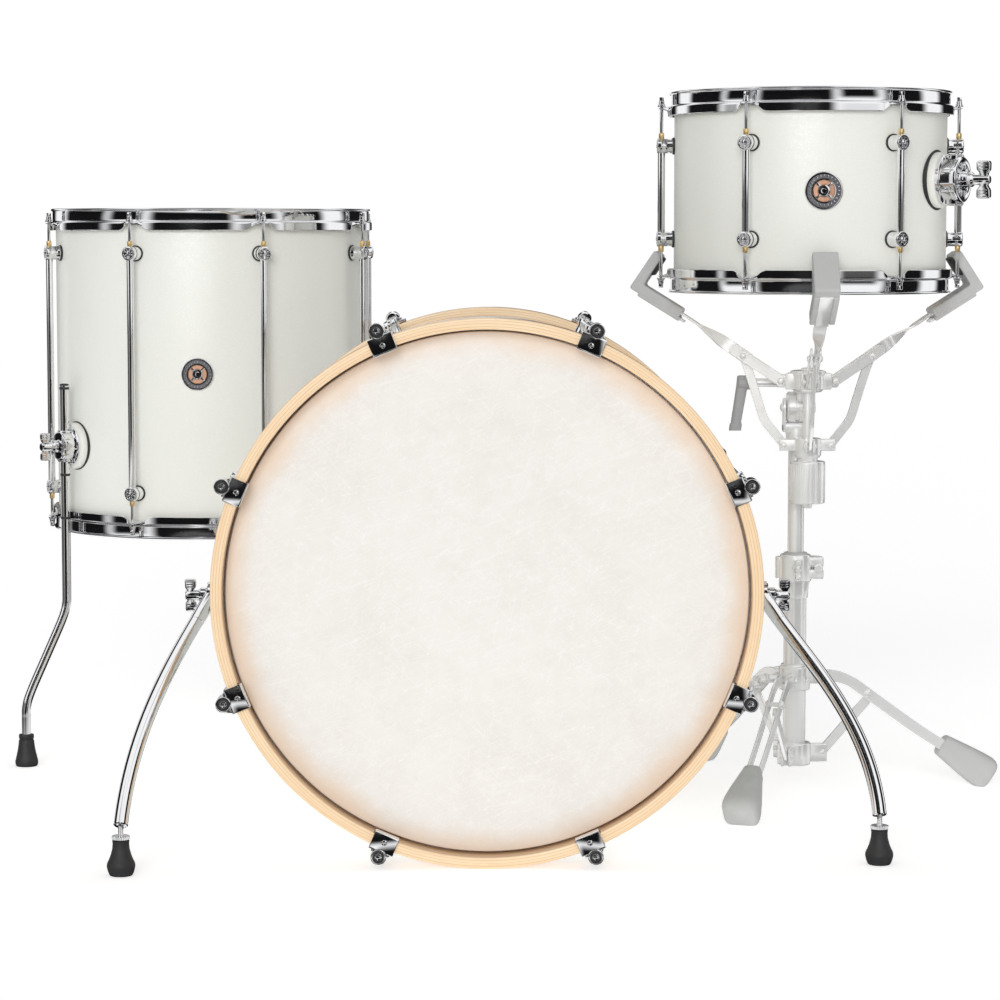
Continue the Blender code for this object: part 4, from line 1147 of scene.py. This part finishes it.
def floorTomLeg(number):
    knob = jointPlace(f"floor_tom_knob_{number}_turn")
    azimuth = azimuthFrom(floorTomFoot, knob)
    legBracket(number, azimuth, knob.z)
    place = moved((floorTomFoot.x, floorTomFoot.y, 0)) @ turned(azimuth)
    axis, toe, r = leg["axis"], leg["toe"], leg["rod"]
    upper, lower = leg["bendTop"], leg["bendLow"]
    bend = smoothPath(radial([(axis, upper + 0.020), (axis + 0.0008, upper + 0.004),
                              (axis + 0.0072, upper - 0.0150), ((axis + toe) / 2, (upper + lower) / 2),
                              (toe - 0.0072, lower + 0.0150), (toe - 0.0008, lower - 0.004),
                              (toe, lower - 0.020)]), 7)
    path = radial([(axis, leg["top"]), (axis, 0.40), (axis, 0.30)]) + bend + radial([(toe, 0.0088)])
    piece(f"floorTomLeg{number}", tube(path, r, 24), "chrome", f"floor_tom_rod_{number}",
          [f"floor_tom_leg_{number}"], place=place)
    bands = []
    for mark in leg["marks"]:
        low, high = mark - leg["markHalf"], mark + leg["markHalf"]
        outline = softened([(r - 0.0004, low), (r + 0.0004, low), (r + 0.0004, high), (r - 0.0004, high)],
                           0.0003, 2)
        bands.append(copied(lathe(outline, 28), moved((0, -axis, 0))))
    bands.append(uprightBar(axis, leg["top"] - 0.0008, button(r - 0.0002, 0.0022, 0.0010, 0.0005), 24))
    piece(f"floorTomLeg{number}Marks", joined(bands), "blackRubber", f"floor_tom_rod_{number}",
          place=place)
    high = leg["footHigh"]
    foot = [(r + 0.0002, high)] + arc((0.0086, high - 0.0010), 0.0010, 90, 0, 3)
    foot += [(0.0096, high - 0.0048), (0.0090, high - 0.0056), (0.0090, high - 0.0070),
             (0.0097, high - 0.0078)]
    foot += smoothRun([(0.0099, 0.0310), (0.0112, 0.0215), (0.0135, 0.0110), (0.0146, 0.0062),
                       (0.0143, 0.0026), (0.0134, 0.0004)], 3)
    foot += [(0.0128, 0.0), (0.0, 0.0), (0.0, 0.0082), (r + 0.0002, 0.0082)]
    piece(f"floorTomLegFoot{number}", lathe(foot, 36), "blackRubber", f"floor_tom_rod_{number}",
          [f"floor_tom_leg_foot_{number}"], place=place @ moved((0, -toe, 0)))
    wing = wingForm(floorTom["radius"] + leg["wingOut"], "floorTom")
    piece(f"floorTomLegKnob{number}", wing, "chrome", f"floor_tom_wing_{number}",
          [f"floor_tom_leg_knob_{number}"], place=moved((0, 0, knob.z)) @ place)


for number in (1, 2, 3):
    floorTomLeg(number)
print("floor tom legs made")


# rack tom bracket

def rackBracket():
    knob = jointPlace("rack_tom_knob_turn")
    azimuth = azimuthFrom(rackTomFoot, knob)
    radius = rackTom["radius"]
    place = moved((rackTomFoot.x, rackTomFoot.y, knob.z)) @ turned(azimuth)
    bracketBase("rackBracket", rackTom, rackBase, place, ["rack_tom_bracket"])
    housing = [(0.0, 0.0), (0.0288, 0.0), (0.0298, 0.0012), (0.0298, 0.0046), (0.0290, 0.0056),
               (0.0268, 0.0062), (0.0262, 0.0170), (0.0270, 0.0180),
               (0.0270, 0.0222)] + arc((0.0242, 0.0228), 0.0028, 0, 90, 5)
    housing += [(0.0205, 0.0250), (0.0195, 0.0240), (0.0130, 0.0240), (0.0122, 0.0252), (0.0, 0.0254)]
    parts = [facingBar(radius + 0.0080, housing, 72)]
    parts += spun(brick((0.0163, -(radius + 0.0326), 0), (0.0064, 0.0024, 0.0046), 0.0010, 2), 10, "Y")
    for side in (-1, 1):  # the slot's cheeks, for a holder's rod
        parts.append(brick((side * 0.0098, -(radius + 0.0200), 0), (0.0060, 0.0190, 0.0600), 0.0024, 4))
    collar = [(0.0, 0.0), (0.0094, 0.0), (0.0100, 0.0010), (0.0094, 0.0022), (0.0098, 0.0034),
              (0.00846, 0.0060), (0.0, 0.0060)]
    parts.append(facingBar(radius + 0.0330, collar, 36))
    piece("rackBracketHousing", joined(parts), "chrome", "rack_tom", place=place)
    wing = wingForm(radius + 0.0360, "rackTom")
    piece("rackBracketKnob", wing, "chrome", "rack_tom_wing", ["rack_tom_bracket_knob"],
          place=place)


rackBracket()
print("rack tom bracket made")


# basket stand: column

column = {"base": 0.0138, "upper": 0.0097, "lowCollar": (0.0331, 0.0598), "legCollar": (0.1253, 0.1536),
          "clamp": (0.2585, 0.2910), "bushing": 0.0220, "tilt": jointPlace("basket_tilt").z,
          "screwAzimuth": -75, "grubAzimuth": 40}
tripod = {"wide": 0.0130, "thick": 0.0026, "apart": 0.0072, "braceFoot": (0.035, 0.0475),
          "braceHead": (0.0905, 0.1090), "knee": (0.0905, 0.1190), "bootTop": (0.188, 0.0512),
          "bootToe": (0.238, 0.0180)}
legAzimuths = [azimuthFrom(standFoot, jointPlace(f"stand_leg_{number}_fold")) for number in (1, 2, 3)]
armAzimuths = [azimuthFrom(basketFoot, jointPlace(f"basket_arm_{number}_open")) for number in (1, 2, 3)]


# A metal piece of the stand, from its parts
def standPiece(name, parts, body, stands, place):
    piece(name, joined(parts), "standSilver", body, stands, place=place)


# A domed rivet through a joint, along X
def rivet(at, radius=0.0042, reach=0.0090):
    at = Vector(at)
    across = Vector((1, 0, 0))
    curve = arc((radius * 0.35, 0.0), radius * 0.65, 0, 80, 5)[1:]
    head = [(0.0, 0.0), (radius, 0.0)] + curve + [(0.0, radius * 0.66)]
    shank = [(0.0, 0.0), (radius * 0.55, 0.0), (radius * 0.55, 2 * reach), (0.0, 2 * reach)]
    parts = [roundBar(at + across * side * reach, at + across * side * (reach + 1), head, 20)
             for side in (-1, 1)]
    return joined(parts + [roundBar(at - across * reach, at + across * reach, shank, 16)])


def baseColumn():
    low, high = column["lowCollar"]
    clampLow, clampHigh = column["clamp"]
    r = column["base"]
    tubeTop = clampLow - column["bushing"]
    inner = column["upper"] + 0.0005
    shaft = [(r, high - 0.001), (r, tubeTop), (r + 0.0004, tubeTop + 0.0012),
             (r + 0.0014, tubeTop + 0.0014), (r + 0.0030, clampLow - 0.0030),
             (r + 0.0042, clampLow - 0.0006), (r + 0.0042, clampLow + 0.001), (inner, clampLow + 0.001),
             (inner, high - 0.001)]
    rim = softened([(0.0170, low), (0.0205, low), (0.0205, high), (r - 0.0008, high)], 0.0016, 4, False)
    foot = lathe([(0.0, low)] + rim + [(r - 0.0008, low + 0.012), (0.0, low + 0.012)], 56, False)
    head = softened([(inner, clampHigh), (0.0186, clampHigh), (0.0195, clampHigh - 0.0060),
                     (0.0195, clampLow), (inner, clampLow)], 0.0012, 3)
    ears = []
    for side in (-1, 1):
        ear = brick((side * 0.0046, -0.0285, (low + high) / 2), (0.0030, 0.0240, high - low - 0.0050),
                    0.0011, 3)
        ears += spread(ear, legAzimuths)
    pins = spread(rivet((0, -tripod["braceFoot"][0], tripod["braceFoot"][1]), 0.0036, 0.0062), legAzimuths)
    middle = (clampLow + clampHigh) / 2
    jaws = [brick((0.0236, -0.0040, middle + side * 0.0075), (0.0200, 0.0130, 0.0120), 0.0022, 4)
            for side in (-1, 1)]
    jaws.append(brick((0.0220, 0.0062, middle), (0.0170, 0.0060, 0.0280), 0.0020, 3))
    jaws.append(roundBar((0.0270, -0.0112, middle), (0.0270, -1, middle), button(0.0052, 0.0040, 0.0010),
                         24))
    jaws.append(knurledNut((0.0270, 0.0078, middle), (0.0270, 1, middle)))
    pivotBar = plainBar(0.0052, clampHigh - clampLow - 0.006, 0.0012)
    hinge = roundBar((-0.0190, 0.0030, clampLow + 0.003), (-0.0190, 0.0030, 1), pivotBar, 24)
    whole = [lathe(shaft, 56), foot, lathe(head, 56), hinge] + ears + pins + jaws
    standPiece("standBaseTube", whole, "stand", ["stand_base_tube"], moved(standFoot))
    bushTop, bushLow = clampHigh + 0.0026, clampHigh - 0.0004
    bush = softened([(inner - 0.0001, bushTop), (0.0140, bushTop), (0.0148, bushLow),
                     (inner - 0.0001, bushLow)], 0.0006, 2)
    piece("standTubeBush", lathe(bush, 40), "greyRubber", "stand", place=moved(standFoot))


def knurledNut(start, end):
    start, end = Vector(start), Vector(end)
    turn = (end - start).to_track_quat("Z", "Y").to_matrix().to_4x4()
    return copied(knurled(0.0056, 0.0044, 12, 0.0005), moved(start) @ turn)


def legCollar():
    low, high = column["legCollar"]
    bore = column["base"] + 0.0003
    ring = softened([(bore, high), (0.0190, high), (0.0190, low), (bore, low)], 0.0016, 4)
    lip = softened([(bore, high + 0.0030), (0.0166, high + 0.0030), (0.0172, high - 0.0010),
                    (bore, high - 0.0010)], 0.0008, 3)
    z = jointPlace("stand_leg_1_fold").z
    lugs = spread(brick((0, -0.0255, z), (0.0086, 0.0170, 0.0150), 0.0026, 4), legAzimuths)
    pins = spread(rivet((0, -0.0290, z), 0.0040, 0.0098), legAzimuths)
    onSide = turned(column["screwAzimuth"])
    level = Matrix.Rotation(math.pi / 2, 4, "Y")
    screw = [copied(facingBar(0.0170, plainBar(0.0050, 0.0200, 0.0010), 24, z), onSide),
             copied(wingForm(0.0340, "collar"), onSide @ moved((0, 0, z)) @ level)]
    socket = [(0.0, 0.0), (0.0034, 0.0), (0.0034, 0.0016), (0.0020, 0.0018), (0.0018, 0.0008), (0.0, 0.0008)]
    grub = copied(facingBar(0.0180, socket, 20, z), turned(column["grubAzimuth"]))
    whole = [lathe(ring, 56), lathe(lip, 48), grub] + lugs + pins + screw
    standPiece("standLegCollar", whole, "leg_collar", ["stand_leg_collar"], moved(standFoot))


def upperColumn():
    r, tilt = column["upper"], column["tilt"]
    low = column["legCollar"][0] - 0.040
    shaft = uprightBar(0, low, plainBar(r, tilt - 0.0240 - low, 0.0010), 40)
    outline = softened([(0.0, 0.0), (0.0128, 0.0), (0.0132, 0.0280), (0.0, 0.0280)], 0.0016, 3)
    sleeve = uprightBar(0, tilt - 0.0520, outline, 40)
    seat = brick((0, 0, tilt - 0.0245), (0.0336, 0.0196, 0.0120), 0.0030, 4)
    ears = []
    for side in (-1, 1):
        outline = [(-0.0098, -0.0300), (0.0098, -0.0300)] + arc((0.0, 0.0), 0.0112, 0, 180, 12)
        ear = slab(softened(outline, 0.0010, 2), 0.0032, 0.0008)
        flat = Matrix(((0, 0, 1, side * 0.0152), (1, 0, 0, 0), (0, 1, 0, tilt), (0, 0, 0, 1)))
        ears.append(copied(ear, flat))
    bolt = rivet((0, 0, tilt), 0.0052, 0.0168)
    nut = copied(knurled(0.0072, 0.0056, 14, 0.0006),
                 moved((0.0168, 0, tilt)) @ Matrix.Rotation(math.pi / 2, 4, "Y"))
    whole = [shaft, sleeve, seat, bolt, nut] + ears
    standPiece("standUpperTube", whole, "upper_tube", ["stand_upper_tube"], moved(standFoot))
    place = moved((standFoot.x, standFoot.y, jointPlace("height_wing_turn").z))
    wing = wingForm(0.0198, "height")
    standPiece("standHeightWing", [wing], "height_wing", ["stand_height_knob"], place)


# basket stand: tripod

# Points round a soft-cornered rectangle; a lower power is squarer
def squareRing(wide, deep, power, steps):
    out = []
    for step in range(steps):
        c, s = math.cos(2 * math.pi * step / steps), math.sin(2 * math.pi * step / steps)
        out.append((wide * math.copysign(abs(c) ** power, c), deep * math.copysign(abs(s) ** power, s)))
    return out


# A wedge boot, square and soft-cornered, that grows towards its flat sole
def rubberBoot(start, end):
    start, end = Vector(start), Vector(end)
    ahead = (end - start).normalized()
    side = Vector((1, 0, 0))
    up = side.cross(ahead).normalized()
    if up.z < 0:
        up = -up
    # how far along (metres before the start, then shares of the length), half width, half depth
    stations = ((-0.0030, 0.0086, 0.0108), (-0.0014, 0.0104, 0.0130), (0.0, 0.0110, 0.0138),
                (0.10, 0.0118, 0.0146), (0.35, 0.0150, 0.0166), (0.65, 0.0186, 0.0190),
                (0.92, 0.0212, 0.0206), (1.02, 0.0215, 0.0208), (1.10, 0.0210, 0.0198),
                (1.16, 0.0194, 0.0176), (1.19, 0.0165, 0.0148))
    rings = []
    for share, wide, deep in stations:
        along = start + ahead * (share if share < 0 else share * (end - start).length)
        ring = []
        for x, y in squareRing(wide, deep, 0.55, 40):
            point = along + side * x + up * y
            ring.append(Vector((point.x, point.y, max(point.z, 0.0))))  # the sole is flat on the floor
        rings.append(ring)
    return loft(rings)


def tripodLeg(number, azimuth):
    place = moved(standFoot) @ turned(azimuth)
    pivot = jointPlace(f"stand_leg_{number}_fold")
    reach = (pivot - Vector((standFoot.x, standFoot.y, pivot.z))).length
    path = smoothPath(radial([(reach, pivot.z), (0.048, 0.1405), (0.068, 0.1345), tripod["knee"],
                              (0.120, 0.0975), (0.155, 0.0724), tripod["bootTop"]]), 4)
    strips = [strip(path, tripod["wide"], tripod["thick"], None, side * tripod["apart"]) for side in (-1, 1)]
    pin = rivet(radial([tripod["knee"]])[0], 0.0052, tripod["apart"] + 0.0012)
    body = f"stand_leg_{number}"
    standPiece(f"standLeg{number}", strips + [pin], body, [body], place)
    boot = rubberBoot(*radial([tripod["bootTop"], tripod["bootToe"]]))
    piece(f"standBoot{number}", boot, "greyRubber", body, place=place, angle=60)
    foot, head = radial([tripod["braceFoot"], tripod["braceHead"]])
    middle = (foot + head) / 2
    bar = strip([foot, foot.lerp(middle, 0.5), middle, middle.lerp(head, 0.5), head], 0.0112, 0.0042)
    standPiece(f"standBrace{number}", [bar], f"stand_brace_{number}", [f"stand_brace_{number}"], place)


# basket stand: basket

basket = {"hub": (0.4899, 0.5163), "hubRadius": 0.0200, "pivot": (0.032, 0.5031),
          "linkFoot": (0.028, 0.4260), "linkHead": (0.078, 0.5330), "elbow": (0.1180, 0.5605),
          "jawLow": (0.1525, 0.5835), "jawCorner": (0.2065, 0.6165), "jawTip": (0.1795, 0.6565),
          "nut": (0.3560, 0.4068), "collar": (0.4110, 0.4345), "spindleLow": 0.3500, "leverHigh": 0.5000,
          "leverShare": 0.85, "knurls": 48, "padThick": 0.0062, "padWide": 0.0295, "treads": 6}


def basketHub():
    low, high = basket["hub"]
    r = basket["hubRadius"]
    reach, pivotZ = basket["pivot"]
    spindle = uprightBar(0, basket["spindleLow"], plainBar(0.0060, high - basket["spindleLow"], 0.0010), 28)
    crown = softened([(0.0, low), (r - 0.0040, low), (r, low + 0.0040), (r, high - 0.0060),
                      (r + 0.0014, high - 0.0050), (r + 0.0014, high - 0.0010), (r - 0.0030, high),
                      (0.0, high)], 0.0012, 3, False)
    lugs = spread(brick((0, -0.0262, pivotZ), (0.0082, 0.0230, 0.0160), 0.0026, 4), armAzimuths)
    for side in (-1, 1):
        lugs += spread(brick((side * 0.0094, -0.0200, pivotZ), (0.0034, 0.0130, 0.0200), 0.0014, 3),
                       armAzimuths)
    pins = spread(rivet((0, -reach, pivotZ), 0.0042, 0.0078), armAzimuths)
    offset = standFoot - basketFoot
    tilt = column["tilt"]
    drum = [(0.0, 0.0), (0.0168, 0.0), (0.0188, 0.0020), (0.0190, 0.0100), (0.0176, 0.0108),
            (0.0176, 0.0142), (0.0190, 0.0150), (0.0188, 0.0230), (0.0168, 0.0250), (0.0, 0.0250)]
    tilter = roundBar(offset + Vector((-0.0125, 0, tilt)), offset + Vector((0.0125, 0, tilt)), drum, 48)
    web = brick((offset.x / 2, offset.y / 2, 0.4870), (0.0150, 0.0300, 0.0180), 0.0040, 4)
    cap = uprightBar(0, high - 0.0006, button(0.0088, 0.0030, 0.0010, 0.0006), 28)
    leverY, leverZ = offset.y * basket["leverShare"], basket["leverHigh"]
    pin = roundBar((0.0, leverY, leverZ), (-1.0, leverY, leverZ), plainBar(0.0052, 0.0700, 0.0010), 24)
    whole = [spindle, lathe(crown, 56, False), tilter, web, cap, pin] + lugs + pins
    standPiece("basketHub", whole, "basket", ["stand_basket_hub"], moved(basketFoot))
    tilterLever(leverY, leverZ)


# A moulded grip that hangs from its pin; its toe is a little wider
def tilterLever(y, z):
    handle = smoothPath([(-0.0760, y, 0.5080), (-0.0778, y, 0.4940), (-0.0806, y, 0.4760),
                         (-0.0838, y, 0.4560), (-0.0855, y, 0.4420)], 4)
    rings = []
    for index, point in enumerate(handle):
        share = index / (len(handle) - 1)
        wide, deep = 0.0072 - 0.0012 * share + (0.0014 if share > 0.86 else 0.0), 0.0068 - 0.0016 * share
        rings.append([point + Vector((a, b, 0)) for a, b in squareRing(wide, deep, 0.7, 24)])
    outline = softened([(0.0, 0.0), (0.0084, 0.0), (0.0090, 0.0160), (0.0, 0.0160)], 0.0014, 3, False)
    boss = roundBar((-0.0660, y, z), (-0.0860, y, z), outline, 28)
    piece("tilterLever", joined([loft(rings), boss]), "leverGrey", "basket",
          place=moved(basketFoot), angle=50)


def basketCollar():
    nutLow, nutHigh = basket["nut"]
    low, high = basket["collar"]
    reach, pivotZ = basket["linkFoot"]
    shank = softened([(0.0064, high), (0.0162, high), (0.0165, low + 0.0030), (0.0142, low),
                      (0.0120, low - 0.0010), (0.0120, nutHigh - 0.0006), (0.0064, nutHigh - 0.0006)],
                     0.0010, 3)
    parts = [lathe(shank, 48)] + spread(rivet((0, -reach, pivotZ), 0.0036, 0.0060), armAzimuths)
    for side in (-1, 1):
        parts += spread(brick((side * 0.0046, -0.0235, pivotZ), (0.0030, 0.0200, 0.0140), 0.0012, 3),
                        armAzimuths)
    standPiece("basketCollar", parts, "basket_nut", ["stand_basket_collar"], moved(basketFoot))
    sleeve = softened([(0.0064, nutHigh), (0.0212, nutHigh), (0.0212, nutLow), (0.0064, nutLow)], 0.0014, 4)
    ridge = brick((0.0212, 0, (nutLow + nutHigh) / 2), (0.0006, 0.0012, (nutHigh - nutLow) * 0.86), 0.0002,
                  1)
    standPiece("basketNut", [lathe(sleeve, 64)] + spun(ridge, basket["knurls"]), "basket_nut", (),
               moved(basketFoot))


def basketArm(number, azimuth):
    place = moved(basketFoot) @ turned(azimuth)
    body = f"basket_arm_{number}"
    spots = ("pivot", "linkHead", "elbow", "jawLow", "jawCorner")
    pivot, head, mid, low, corner = radial([basket[spot] for spot in spots])
    reach = head + (head - pivot).normalized() * 0.012
    run = [pivot, pivot.lerp(reach, 0.33), pivot.lerp(reach, 0.66), reach]
    cheeks = [strip(run, 0.0126, 0.0024, None, side * 0.0052) for side in (-1, 1)]
    path = smoothPath([pivot.lerp(head, 0.86), head.lerp(mid, 0.30), head.lerp(mid, 0.75),
                       mid.lerp(low, 0.30), mid.lerp(low, 0.75), low.lerp(corner, 0.45)], 6)
    count = len(path) - 1
    twists = []
    for step in range(count + 1):
        share = min(max((step / count - 0.18) / 0.50, 0.0), 1.0)
        twists.append(90.0 * share * share * (3 - 2 * share))
    bar = strip(path, 0.0150, 0.0028, twists)
    whole = cheeks + [bar, rivet(head, 0.0040, 0.0068)]
    standPiece(f"basketArm{number}", whole, body, [f"stand_basket_arm_{number}"], place)
    basketJaw(number, place, body)

    foot = radial([basket["linkFoot"]])[0]
    bend = smoothPath([foot, foot.lerp(Vector((0, -0.052, 0.4550)), 0.55),
                       *radial([(0.0525, 0.4570), (0.0600, 0.4790), (0.0685, 0.5060)]), head], 5)
    link = strip(bend, 0.0104, 0.0040)
    standPiece(f"basketLink{number}", [link], f"basket_link_{number}", [f"stand_basket_link_{number}"],
               place)


# The rubber jaw at an arm's end: two legs in one angle, on a metal plate between rails
def basketJaw(number, place, body):
    low, corner, tip = radial([basket["jawLow"], basket["jawCorner"], basket["jawTip"]])
    thick = basket["padThick"]
    legA, legB = (corner - low).normalized(), (tip - corner).normalized()
    flatA, flatB = Vector((0, legA.z, -legA.y)), Vector((0, legB.z, -legB.y))
    bisect = (flatA + flatB).normalized() * (thick / max((flatA + flatB).normalized().dot(flatA), 0.3))
    outline = [low + flatA * thick, corner + bisect, tip + flatB * thick, tip - flatB * thick,
               corner - bisect, low - flatA * thick]
    outline = softened([(-point.y, point.z) for point in outline], 0.0038, 5)
    grip = slabOnEdge(outline, basket["padWide"], 0.0022, 4)
    down = flatA if flatA.z < 0 else -flatA
    start, end = low + down * 0.0068 - legA * 0.002, low.lerp(corner, 0.90) + down * 0.0068
    turn = (end - start).to_track_quat("Y", "Z").to_matrix().to_4x4()
    long = (end - start).length
    rails = [brick((start + end) / 2 + Vector((side * 0.0112, 0, 0)), (0.0070, long, 0.0050), 0.0016, 3,
                   turn) for side in (-1, 1)]
    plate = brick((start + end) / 2 - legA * 0.003, (0.0158, long + 0.006, 0.0026), 0.0008, 2, turn)
    standPiece(f"basketPlate{number}", [plate], body, (), place)
    face = flatB if flatB.y > 0 else -flatB
    lean = (tip - corner).to_track_quat("Z", "Y").to_matrix().to_4x4()
    treads = []
    for step in range(basket["treads"]):
        at = corner.lerp(tip, 0.16 + 0.07 * step)
        treads.append(brick(at + face * 0.0056, (0.0240, 0.0010, 0.0020), 0.0004, 1, lean))
    piece(f"basketGrip{number}", joined([grip] + rails + treads), "greyRubber", body, place=place,
          angle=50)
    pad = brick(tip.lerp(corner, 0.30) + face * 0.0072, (0.0230, 0.0050, 0.0250), 0.0022, 4, lean)
    piece(f"basketPad{number}", pad, "blackRubber", body, place=place, angle=50)


baseColumn()
legCollar()
upperColumn()
for number, azimuth in enumerate(legAzimuths, 1):
    tripodLeg(number, azimuth)
basketHub()
basketCollar()
for number, azimuth in enumerate(armAzimuths, 1):
    basketArm(number, azimuth)
print("stand made")


# studio

studioSet = {"ambient": 0.42, "dome": 13.0, "domeGlow": 1.02, "floorGlow": 0.50, "flagReach": 5.0,
             "soft": 5.0, "sunPower": 1.30, "sunAngle": 30.0, "sunWay": (0.16, 1.0, -0.30)}
# dark spans of a surround seen only in gloss, in degrees: first and last azimuth, lowest and highest
flags = ((-44, 17, -9, 46), (58, 95, -9, 42), (-122, -80, -9, 48), (118, 154, -9, 40), (-168, -144, -9, 40),
         (165, 180, -9, 36), (-76, -50, -9, 12), (22, 52, -9, 9), (-176, -100, -66, -14),
         (-92, -18, -60, -14), (-10, 66, -64, -14), (76, 172, -66, -14))


# A stage object that some kinds of ray don't see
def staged(name, bm, unseenBy):
    made = asObject(name, bm)
    made.data.materials.append(finishes[name])
    for ray in unseenBy:
        setattr(made, "visible_" + ray, False)


def ball(radius, around):
    bm = bmesh.new()
    bmesh.ops.create_uvsphere(bm, u_segments=around, v_segments=around // 2, radius=radius)
    return bm


def studio():
    world = bpy.data.worlds.new("studio")
    bpy.context.scene.world = world
    world.use_nodes = True
    world.node_tree.nodes["Background"].inputs["Color"].default_value = (1.0, 1.0, 1.0, 1)
    world.node_tree.nodes["Background"].inputs["Strength"].default_value = studioSet["ambient"]

    newFinish("floor", lambda bench: {"Base Color": (0.93, 0.93, 0.93, 1), "Roughness": 0.75,
                                      "Specular IOR Level": 0.0, "Emission Color": (1.0, 1.0, 1.0, 1),
                                      "Emission Strength": studioSet["floorGlow"],
                                      "Normal": bench.bump(bench.noise(bench.place(), 120.0), 0.02, 0.001)})
    ground = bmesh.new()
    bmesh.ops.create_grid(ground, x_segments=8, y_segments=8, size=studioSet["dome"])
    staged("floor", ground, ("glossy",))

    newFinish("whiteSweep", lambda bench: {"Base Color": (0.0, 0.0, 0.0, 1), "Roughness": 1.0,
                                           "Specular IOR Level": 0.0, "Emission Color": (1.0, 1.0, 1.0, 1),
                                           "Emission Strength": studioSet["domeGlow"]})
    staged("whiteSweep", ball(studioSet["dome"], 48), ("diffuse", "shadow"))

    def shade(bench):
        x, y, z = bench.axes(bench.place())
        around = bench.maths("ARCTAN2", x, y * -1.0) * (180.0 / math.pi)
        high = bench.maths("ARCSINE", z / studioSet["flagReach"]) * (180.0 / math.pi)
        soft = studioSet["soft"]
        dark = None
        for first, last, low, top in flags:
            starts = bench.between(first - soft, first + soft, around)
            ends = 1.0 - bench.between(last - soft, last + soft, around)
            above = bench.between(low - 3.0, low + 3.0, high)
            below = 1.0 - bench.between(top - 4.0, top + 5.0, high)
            span = starts * ends * above * below
            dark = span if dark is None else dark + span
        overhead = bench.between(62.0, 72.0, high)
        return {"Base Color": (0.010, 0.010, 0.011, 1), "Roughness": 0.9, "Specular IOR Level": 0.0,
                "Alpha": dark + overhead * 0.85}

    newFinish("darkSurround", shade)
    staged("darkSurround", ball(studioSet["flagReach"], 64), ("camera", "diffuse", "shadow", "transmission"))

    sun = bpy.data.lights.new("key", "SUN")
    sun.energy = studioSet["sunPower"]
    sun.angle = math.radians(studioSet["sunAngle"])
    key = bpy.data.objects.new("key", sun)
    key.rotation_euler = Vector(studioSet["sunWay"]).to_track_quat("-Z", "Y").to_euler()
    bpy.context.scene.collection.objects.link(key)


# viewpoint

shot = {"place": (0.0100, -3.7747, 0.6792), "dip": 4.95, "lens": 110.58}


def viewpoint():
    data = bpy.data.cameras.new("viewpoint")
    data.lens = shot["lens"]
    data.clip_end = 60.0
    camera = bpy.data.objects.new("viewpoint", data)
    camera.location = shot["place"]
    camera.rotation_euler = (math.radians(90.0 - shot["dip"]), 0.0, 0.0)
    bpy.context.scene.collection.objects.link(camera)
    bpy.context.scene.camera = camera
    bpy.context.scene.view_settings.view_transform = "Standard"


studio()
viewpoint()
print("studio set")
